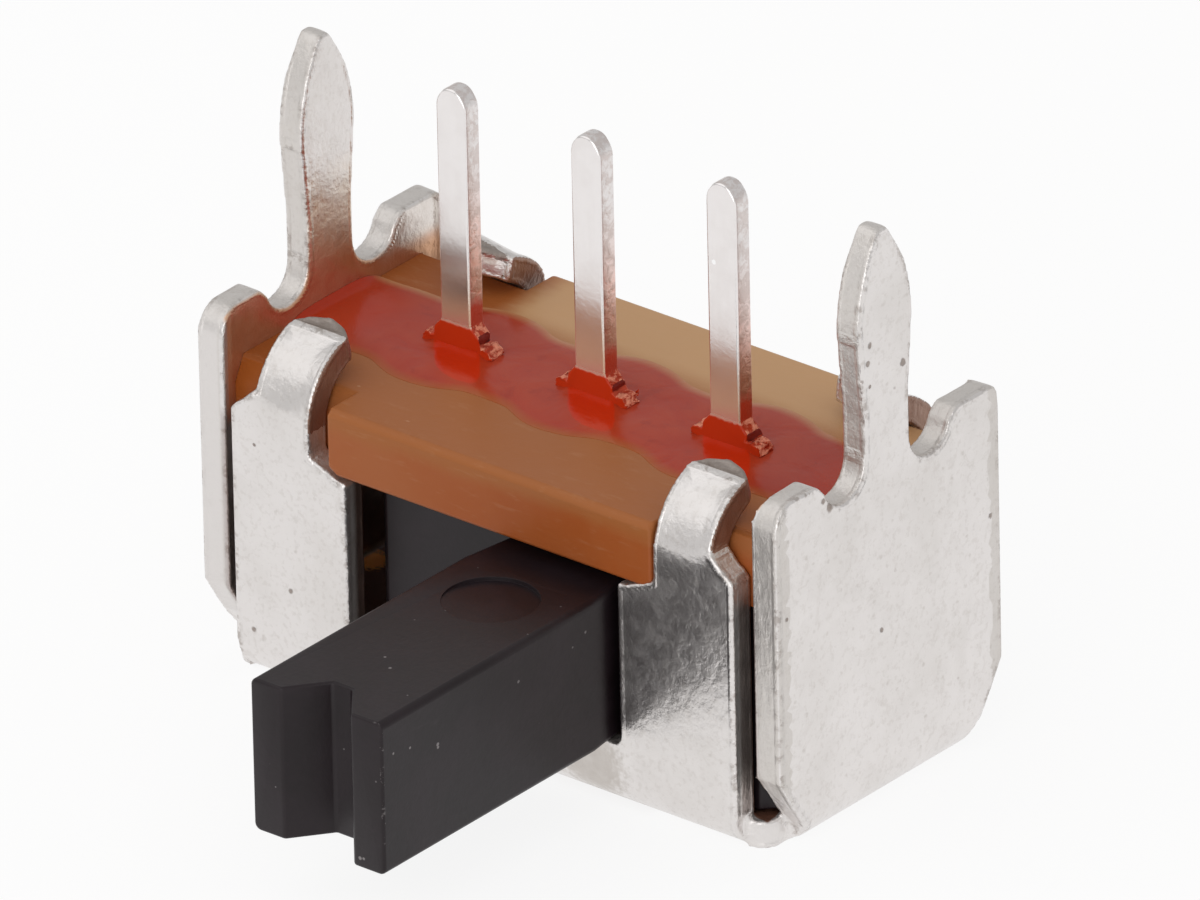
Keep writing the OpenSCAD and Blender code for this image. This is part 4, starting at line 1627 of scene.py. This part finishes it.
@dataclass
class ResinSeal:
    """The poured resin: a thin band that swells round each terminal and wets what it touches.

    Attributes:
        half_width: Half the band's width between the terminals.
        swell_radius: How far it swells round a terminal, with softness where the two meet.
        sway: How far its shore wanders, with sway_grain grains in a millimetre.
        foot_half: Half a foot's width, and foot_depth half its thickness.
        climb: How high the resin climbs a foot, and reach how far from it.
        wall_climb: How high it climbs the can's walls, and wall_reach how far from them.
        swirl: How deep its surface waves, with swirl_grain grains in a millimetre each way.
        skim: The least thickness of the band.
        lap: How far the band laps over its own outline.
        end_gap: How far it ends before the can's walls.
        cell: The size of the grid that it is drawn from.
        rim: The width of the shore, where it thins out.
        crease: The least angle that stays a crease.
        low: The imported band's lowest corner, and high its highest.
        base_top: The height of the base's top, and end where the can's walls stand.
    """

    half_width: float = 0.75
    swell_radius: float = 0.96
    softness: float = 0.06
    sway: float = 0.04
    sway_grain: float = 1.4
    foot_half: float = 0.33
    foot_depth: float = 0.125
    climb: float = 0.05
    reach: float = 0.05
    wall_climb: float = 0.1
    wall_reach: float = 0.05
    swirl: float = 0.006
    swirl_grain: Span = (0.9, 1.7)
    skim: float = 0.003
    lap: float = 0.09
    end_gap: float = 0.003
    cell: float = 0.035
    rim: float = 0.16
    crease: float = 60.0
    low: Vector = field(default_factory=lambda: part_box("resin_seal")[0] / MM)
    high: Vector = field(default_factory=lambda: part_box("resin_seal")[1] / MM)
    base_top: float = field(default_factory=lambda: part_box("terminal_base")[1].z / MM)
    end: float = field(default_factory=lambda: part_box("terminal_base")[1].x / MM + 2 * HAIR)

    def shore(self, x: float) -> float:
        """Half the band's width at a place along the row, in millimetres.

        Args:
            x: The place along the row.

        Returns:
            The half width, to where the resin ends.
        """
        away = min(abs(x - place * PITCH) for place in ROW)
        swell = math.sqrt(max(self.swell_radius ** 2 - away ** 2, 0.0))
        soft = self.softness
        blend = math.log(math.exp(swell / soft) + math.exp(self.half_width / soft)) * soft
        return blend + self.lap + self.sway * noise.noise(Vector((x * self.sway_grain, 4.0, 0.0)))

    def surface(self, x: float, y: float) -> float:
        """The height of the resin at a point, in millimetres.

        Args:
            x: The point's place along the row.
            y: Its place from front to back.

        Returns:
            The height above the floor.
        """
        crown = self.high.z - self.base_top
        dome = 1.0 - (abs(y) / self.shore(x)) ** 4
        swirl = self.swirl * noise.noise(Vector((x * self.swirl_grain[0], y * self.swirl_grain[1], 1.0)))
        height = self.skim + (crown + swirl) * max(dome, 0.0)
        for place in ROW:
            dx = max(abs(x - place * PITCH) - self.foot_half, 0.0)
            dy = max(abs(y) - self.foot_depth, 0.0)
            height += self.climb * math.exp(-math.hypot(dx, dy) / self.reach)
        at_wall = self.wall_climb * math.exp(-(self.end - abs(x)) / self.wall_reach)
        return self.base_top + height + at_wall * max(dome, 0.0)

    def build(self) -> Bench:
        """Draws up a fine grid with a skirt, and lays it into the band.

        Returns:
            The bench with the band on it.
        """
        length, width = 2 * (self.end - self.end_gap), 2 * (self.swell_radius + self.lap)
        bpy.ops.object.select_all(action="DESELECT")
        bpy.ops.mesh.primitive_grid_add(x_subdivisions=int(length / self.cell),
                                        y_subdivisions=int(width / self.cell), size=2.0)
        piece = bpy.context.active_object
        piece.name = piece.data.name = "resin_band"
        bench = Bench(piece)
        with bench.editing(everything=True):
            bpy.ops.mesh.extrude_region_move(TRANSFORM_OT_translate={"value": (0.0, 0.0, 1.0)})
        for vertex in piece.data.vertices:
            x = vertex.co.x * length / 2
            y = vertex.co.y * self.shore(x)
            z = self.surface(x, y) if vertex.co.z > 0.5 else self.low.z
            vertex.co = Vector((x, y, z)) * MM
        with bench.editing(everything=True):
            bpy.ops.mesh.normals_make_consistent(inside=False)
        bench.shade(self.crease)
        bench.mark_corners("rim", [min(max(1.0 - (self.shore(at.x) - abs(at.y)) / self.rim, 0.0), 1.0)
                                   for _, at in bench.corners()])
        return bench

    def dress(self, bench: Bench) -> bpy.types.Object:
        """Colours it."""
        return bench.dress(SealingResin(), "resin", Body.HOUSING, "resin_seal")


@dataclass
class Terminal:
    """One flat stamped terminal, seen above the resin as a pin, its foot and its barbs.

    Attributes:
        place: Its place in the row.
        edge: The rounding of its edges, and tip_edge of its tip, of tip_segments faces.
        tip: How far under the top its tip's edges lie.
        thin: The length over which an edge runs through the strip's thickness.
        foot_half: Half the foot's width, and beside how far outside it the barbs' torn faces begin.
        barb_low: Where the barbs' torn faces begin, and chip_low where they show.
        looks_up: The least that a torn face looks upwards.
        barb_rise: How far the barbs are torn up, after barb_cuts cuts.
        rough: How far they are torn about, with first_seed for the first terminal.
        shoulder: Where the slope lies on which the pin widens.
        flat: The most that a sheared or torn face looks to the front or back.
        foot_side: The least that the foot's side looks along the row, up to foot_side_top.
        low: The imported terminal's lowest corner, and high its highest.
    """

    place: Place
    edge: float = 0.035
    tip_edge: float = 0.075
    tip_segments: int = 4
    tip: float = 0.2
    thin: float = 0.1
    foot_half: float = 0.33
    beside: Span = (0.02, 0.03)
    barb_low: float = 3.88
    barb_cuts: int = 3
    barb_rise: float = 0.06
    rough: float = 0.03
    first_seed: int = 2
    chip_low: float = 3.9
    looks_up: float = 0.3
    shoulder: Span = (4.1, 4.28)
    flat: float = 0.5
    foot_side: float = 0.85
    foot_side_top: float = 4.14
    low: Vector = field(init=False)
    high: Vector = field(init=False)

    def __post_init__(self) -> None:
        """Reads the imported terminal's box."""
        self.low, self.high = (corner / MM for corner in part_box(self.place.value))

    def beside_middle(self, at: Vector) -> float:
        """How far a place is from the pin's middle, along the row."""
        return abs(at.x - (self.low.x + self.high.x) / 2)

    def is_tip_edge(self, one: Vector, two: Vector) -> bool:
        """Whether an edge at the pin's top runs through the strip's thickness."""
        through = abs(one.y - two.y) > self.thin and abs(one.x - two.x) < HAIR
        return through and min(one.z, two.z) > self.high.z - self.tip

    def is_barb(self, face: bpy.types.MeshPolygon) -> bool:
        """Whether a face is the upper side of a barb beside the foot.

        Args:
            face: The face.

        Returns:
            Whether it is.
        """
        at = in_mm(face)
        outside = self.beside_middle(at) > self.foot_half + self.beside[0]
        return outside and at.z > self.barb_low and face.normal.z > self.looks_up

    def is_sheared(self, face: bpy.types.MeshPolygon) -> bool:
        """Whether a face is on the strip's sheared edge."""
        return abs(face.normal.y) < self.flat

    def is_chip(self, face: bpy.types.MeshPolygon) -> bool:
        """Whether a face was torn bare: on a barb, or on the slope where the pin widens into its foot.

        Args:
            face: The face.

        Returns:
            Whether it is.
        """
        at = in_mm(face)
        on_slope = self.shoulder[0] < at.z < self.shoulder[1] and face.normal.z > self.looks_up
        on_barb = self.beside_middle(at) > self.foot_half + self.beside[1] and at.z > self.chip_low
        return on_barb or on_slope and self.is_sheared(face)

    def is_under_shoulder(self, face: bpy.types.MeshPolygon) -> bool:
        """Whether a face is on the foot's side, under the shoulder.

        Args:
            face: The face.

        Returns:
            Whether it is.
        """
        at = in_mm(face)
        on_foot = self.foot_half - self.beside[1] < self.beside_middle(at) < self.foot_half + self.beside[0]
        return on_foot and at.z < self.foot_side_top and abs(face.normal.x) > self.foot_side

    def build(self) -> Bench:
        """Rounds the tip, tears up the barbs, and marks the sheared and torn faces.

        Returns:
            The bench with the pin on it.
        """
        bench = Bench.blank(self.place.value, self.place.value.replace("terminal", "pin"))
        bench.pick_edges(self.is_tip_edge)
        with bench.editing(edges=True):
            bpy.ops.mesh.bevel(offset=self.tip_edge * MM, segments=self.tip_segments, affect="EDGES")
        bench.pick(self.is_barb)
        with bench.editing():
            bpy.ops.mesh.subdivide(number_cuts=self.barb_cuts)
            bpy.ops.transform.translate(value=(0.0, 0.0, self.barb_rise * MM))
            bpy.ops.transform.vertex_random(offset=self.rough * MM,
                                            seed=list(Place).index(self.place) + self.first_seed)
        bench.round_edges(self.edge)
        bench.mark("sheared", self.is_sheared)
        bench.mark("chip", self.is_chip)
        bench.mark("under_shoulder", self.is_under_shoulder)
        bench.smooth()
        return bench

    def dress(self, bench: Bench) -> bpy.types.Object:
        """Tins it and leaves its torn places bare."""
        return bench.dress(TinnedBrass(), "tinned_brass", Body.HOUSING, self.place.value)


@dataclass
class SliderMoulding:
    """The black slider with the knob that the finger pushes.

    Attributes:
        edge: The rounding of its edges.
        neck_end: Where the neck ends in front, over neck_step.
        neck_depth: How much narrower the neck is, on each side of the knob.
        knob: Where the knob's sides are.
        body_front: Where the slider's body begins.
        top: The knob's top.
        mark_middle: The middle of the round ejector mark in the top.
        mark_radius: Its radius.
        mark_floor: How far under the top the mark's floor may lie.
        mark_slope: How far past the mark's middle its floor slopes.
        mark_lip: How deep the mark still is at its shallow end.
    """

    edge: float = 0.035
    neck_end: float = -2.51
    neck_step: float = 0.04
    neck_depth: float = 0.12
    knob: Span = (0.03, 1.97)
    body_front: float = -1.73
    top: float = 2.85
    mark_middle: Span = (1.0, -3.17)
    mark_radius: float = 0.575
    mark_floor: float = 0.1
    mark_slope: float = 0.3
    mark_lip: float = 0.006

    def on_mark(self, at: Vector) -> bool:
        """Whether a place is on the ejector mark or its edge, seen from above."""
        away = math.hypot(at.x - self.mark_middle[0], at.y - self.mark_middle[1])
        return away < self.mark_radius + 2 * HAIR

    def is_mark_edge(self, one: Vector, two: Vector) -> bool:
        """Whether an edge belongs to the ejector mark."""
        return self.on_mark(one) and self.on_mark(two) and min(one.z, two.z) > self.top - self.mark_floor

    def cut_neck(self, bench: Bench) -> None:
        """Narrows the knob where it passes through the window.

        Args:
            bench: The bench with the slider on it.
        """
        for where in (self.neck_end, self.neck_end + self.neck_step):
            bench.score(where)
        left, right = self.knob
        middle = sum(self.knob) / 2
        for vertex, at in bench.corners():
            in_neck = self.neck_end + self.neck_step / 2 < at.y < self.body_front
            if in_neck and left - HAIR < at.x < right + HAIR:
                vertex.co.x = (middle + (at.x - middle) * (1 - self.neck_depth / (right - middle))) * MM

    def tilt_ejector_mark(self, bench: Bench) -> None:
        """Tilts the floor of the ejector mark, so that it runs out towards the tip.

        Args:
            bench: The bench with the slider on it.
        """
        front, back = self.mark_middle[1] - self.mark_radius, self.mark_middle[1] + self.mark_slope
        for vertex, at in bench.corners():
            if self.on_mark(at) and self.top - self.mark_floor < at.z < self.top - HAIR:
                share = max(soft_step(at.y, front, back), self.mark_lip / (self.top - at.z))
                vertex.co.z = (self.top - (self.top - at.z) * share) * MM

    def build(self) -> Bench:
        """Cuts the neck, tilts the ejector mark and softens the moulded edges.

        Returns:
            The bench with the slider on it.
        """
        bench = Bench.blank("slider", "slider_moulding")
        self.cut_neck(bench)
        self.tilt_ejector_mark(bench)
        bench.round_edges(self.edge, keep=self.is_mark_edge)
        bench.smooth()
        return bench

    def dress(self, bench: Bench) -> bpy.types.Object:
        """Colours it."""
        return bench.dress(BlackPlastic(), "black_plastic", Body.SLIDER, "slider")


@dataclass
class MovingContact:
    """The clip inside the slider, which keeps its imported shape."""

    node: str = "moving_contact"

    def dress(self) -> bpy.types.Object:
        """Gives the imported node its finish.

        Returns:
            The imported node.
        """
        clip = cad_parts[self.node]
        strip = SpringStrip().material()
        for slot in clip.material_slots:
            slot.material = strip
        return clip


# ------------------------------------------------------------------ the studio


@dataclass(frozen=True)
class SoftBox:
    """A square lamp that faces the switch.

    Attributes:
        name: The lamp's name.
        where: Its place.
        size: The length of its side.
        radiance: How bright its face looks, where 1 is white.
    """

    name: str
    where: Point
    size: float
    radiance: float


@dataclass
class Studio:
    """A pale table under soft light, with the camera high at the front right corner.

    Attributes:
        azimuth: How far round the camera stands, from the front towards the right.
        elevation: How high it stands.
        roll: How far it leans to its left.
        distance: How far it is from the aim, with aim_right and aim_up that the view is moved by.
        lens: Its focal length, and clip the nearest and furthest that it sees, in metres.
        surround: How bright the room is, and mirrored how bright it looks in mirrors.
        table_size: The length of the table's side, in metres.
        table_colour: The table's colour, and table_roughness how dull it is.
        table_glow: How bright the table looks in mirrors, and backdrop_glow to the eye.
        shadow: How much of the table's own shading shows through that.
        lamps: The soft boxes.
    """

    azimuth: float = 39.878
    elevation: float = 27.089
    roll: float = -1.238
    distance: float = 343.43
    lens: float = 894.88
    clip: Span = (0.01, 10.0)
    aim: Vector = field(default_factory=lambda: Vector((0.0, 0.0, 3.0)))
    aim_right: float = 0.016
    aim_up: float = 0.152
    surround: float = 0.66
    mirrored: float = 0.62
    table_size: float = 2.0
    table_colour: Colour = (0.9, 0.89, 0.885)
    table_roughness: float = 0.9
    table_glow: float = 0.97
    backdrop_glow: float = 1.03
    shadow: float = 0.16
    lamps: tuple[SoftBox, ...] = (SoftBox("soft_box", (-48.0, -42.0, 72.0), 90.0, 0.48),
                                  SoftBox("front_fill", (35.0, -98.0, 42.0), 90.0, 1.1))

    def place_camera(self) -> None:
        """Makes the camera and hands it to the scene."""
        turn, lift, lean = (math.radians(angle) for angle in (self.azimuth, self.elevation, self.roll))
        back = Vector((math.sin(turn) * math.cos(lift), -math.cos(turn) * math.cos(lift), math.sin(lift)))
        level = Vector((math.cos(turn), math.sin(turn), 0.0))
        upright = back.cross(level)
        right = level * math.cos(lean) + upright * math.sin(lean)
        up = upright * math.cos(lean) - level * math.sin(lean)
        where = (self.aim + right * self.aim_right + up * self.aim_up + back * self.distance) * MM
        camera = bpy.data.objects.new("camera", bpy.data.cameras.new("camera"))
        camera.data.lens = self.lens
        camera.data.clip_start, camera.data.clip_end = self.clip
        camera.matrix_world = Matrix.Translation(where) @ Matrix((right, up, back)).transposed().to_4x4()
        bpy.context.scene.collection.objects.link(camera)
        bpy.context.scene.camera = camera

    def hang_lamp(self, box: SoftBox) -> None:
        """Hangs one soft box.

        Args:
            box: The soft box.
        """
        light = bpy.data.lights.new(box.name, "AREA")
        light.size = box.size * MM
        light.energy = box.radiance * math.pi * light.size ** 2
        lamp = bpy.data.objects.new(box.name, light)
        lamp.location = Vector(box.where) * MM
        lamp.rotation_euler = (self.aim * MM - lamp.location).to_track_quat("-Z", "Y").to_euler()
        bpy.context.scene.collection.objects.link(lamp)

    def lay_table(self) -> None:
        """Lays the table, which looks white to the eye and in the metal but keeps the shadow."""
        bpy.ops.object.select_all(action="DESELECT")
        bpy.ops.mesh.primitive_plane_add(size=self.table_size)
        table = bpy.context.active_object
        table.name = "table"
        graph = Graph("table")
        graph.finish(self.table_colour, self.table_roughness, Specular_IOR_Level=0.0)
        rays = graph.node("ShaderNodeLightPath")
        seen, glossy, through = (Value(graph, rays.outputs[f"Is {kind} Ray"])
                                 for kind in ("Camera", "Glossy", "Transmission"))
        mirrored = glossy.most(through)
        glow = graph.node("ShaderNodeEmission", Color=WHITE,
                          Strength=seen * self.backdrop_glow + mirrored * self.table_glow)
        mixed = graph.node("ShaderNodeMixShader", **{
            "0": seen * (1 - self.shadow) + mirrored, "1": graph.shader.outputs[0], "2": glow.outputs[0]})
        graph.feed(graph.tree.nodes["Material Output"].inputs["Surface"], mixed.outputs[0])
        table.data.materials.append(graph.material)

    def light_room(self) -> None:
        """Fills the room with even light, white behind the switch and a little dimmer in mirrors."""
        world = bpy.data.worlds.new("room")
        world.use_nodes = True
        bpy.context.scene.world = world
        tree = world.node_tree
        rays = tree.nodes.new("ShaderNodeLightPath")
        strength: bpy.types.NodeSocket | float = self.surround
        for ray, level in (("Is Glossy Ray", self.mirrored), ("Is Camera Ray", 1.0)):
            step = tree.nodes.new("ShaderNodeMix")
            step.inputs["B"].default_value = level
            if isinstance(strength, float):
                step.inputs["A"].default_value = strength
            else:
                tree.links.new(strength, step.inputs["A"])
            tree.links.new(rays.outputs[ray], step.inputs["Factor"])
            strength = step.outputs["Result"]
        background = tree.nodes["Background"]
        background.inputs["Color"].default_value = (*WHITE, 1.0)
        tree.links.new(strength, background.inputs["Strength"])

    def build(self) -> None:
        """Sets the whole studio up."""
        bpy.context.scene.view_settings.view_transform = "Standard"
        self.place_camera()
        self.lay_table()
        self.light_room()
        for box in self.lamps:
            self.hang_lamp(box)


def main() -> None:
    """Builds the studio and the pieces, and reports each."""
    logging.basicConfig(level=logging.INFO, format="%(message)s")
    Studio().build()
    assemblies = [Can(), BaseMoulding(), ResinSeal(), *(Terminal(place) for place in Place), SliderMoulding()]
    for assembly in assemblies:
        piece = assembly.dress(assembly.build())
        log.info("%s: %d faces", piece.name, len(piece.data.polygons))
    clip = MovingContact().dress()
    log.info("%s: packed shape kept", clip.name)


if __name__ == "__main__":
    main()
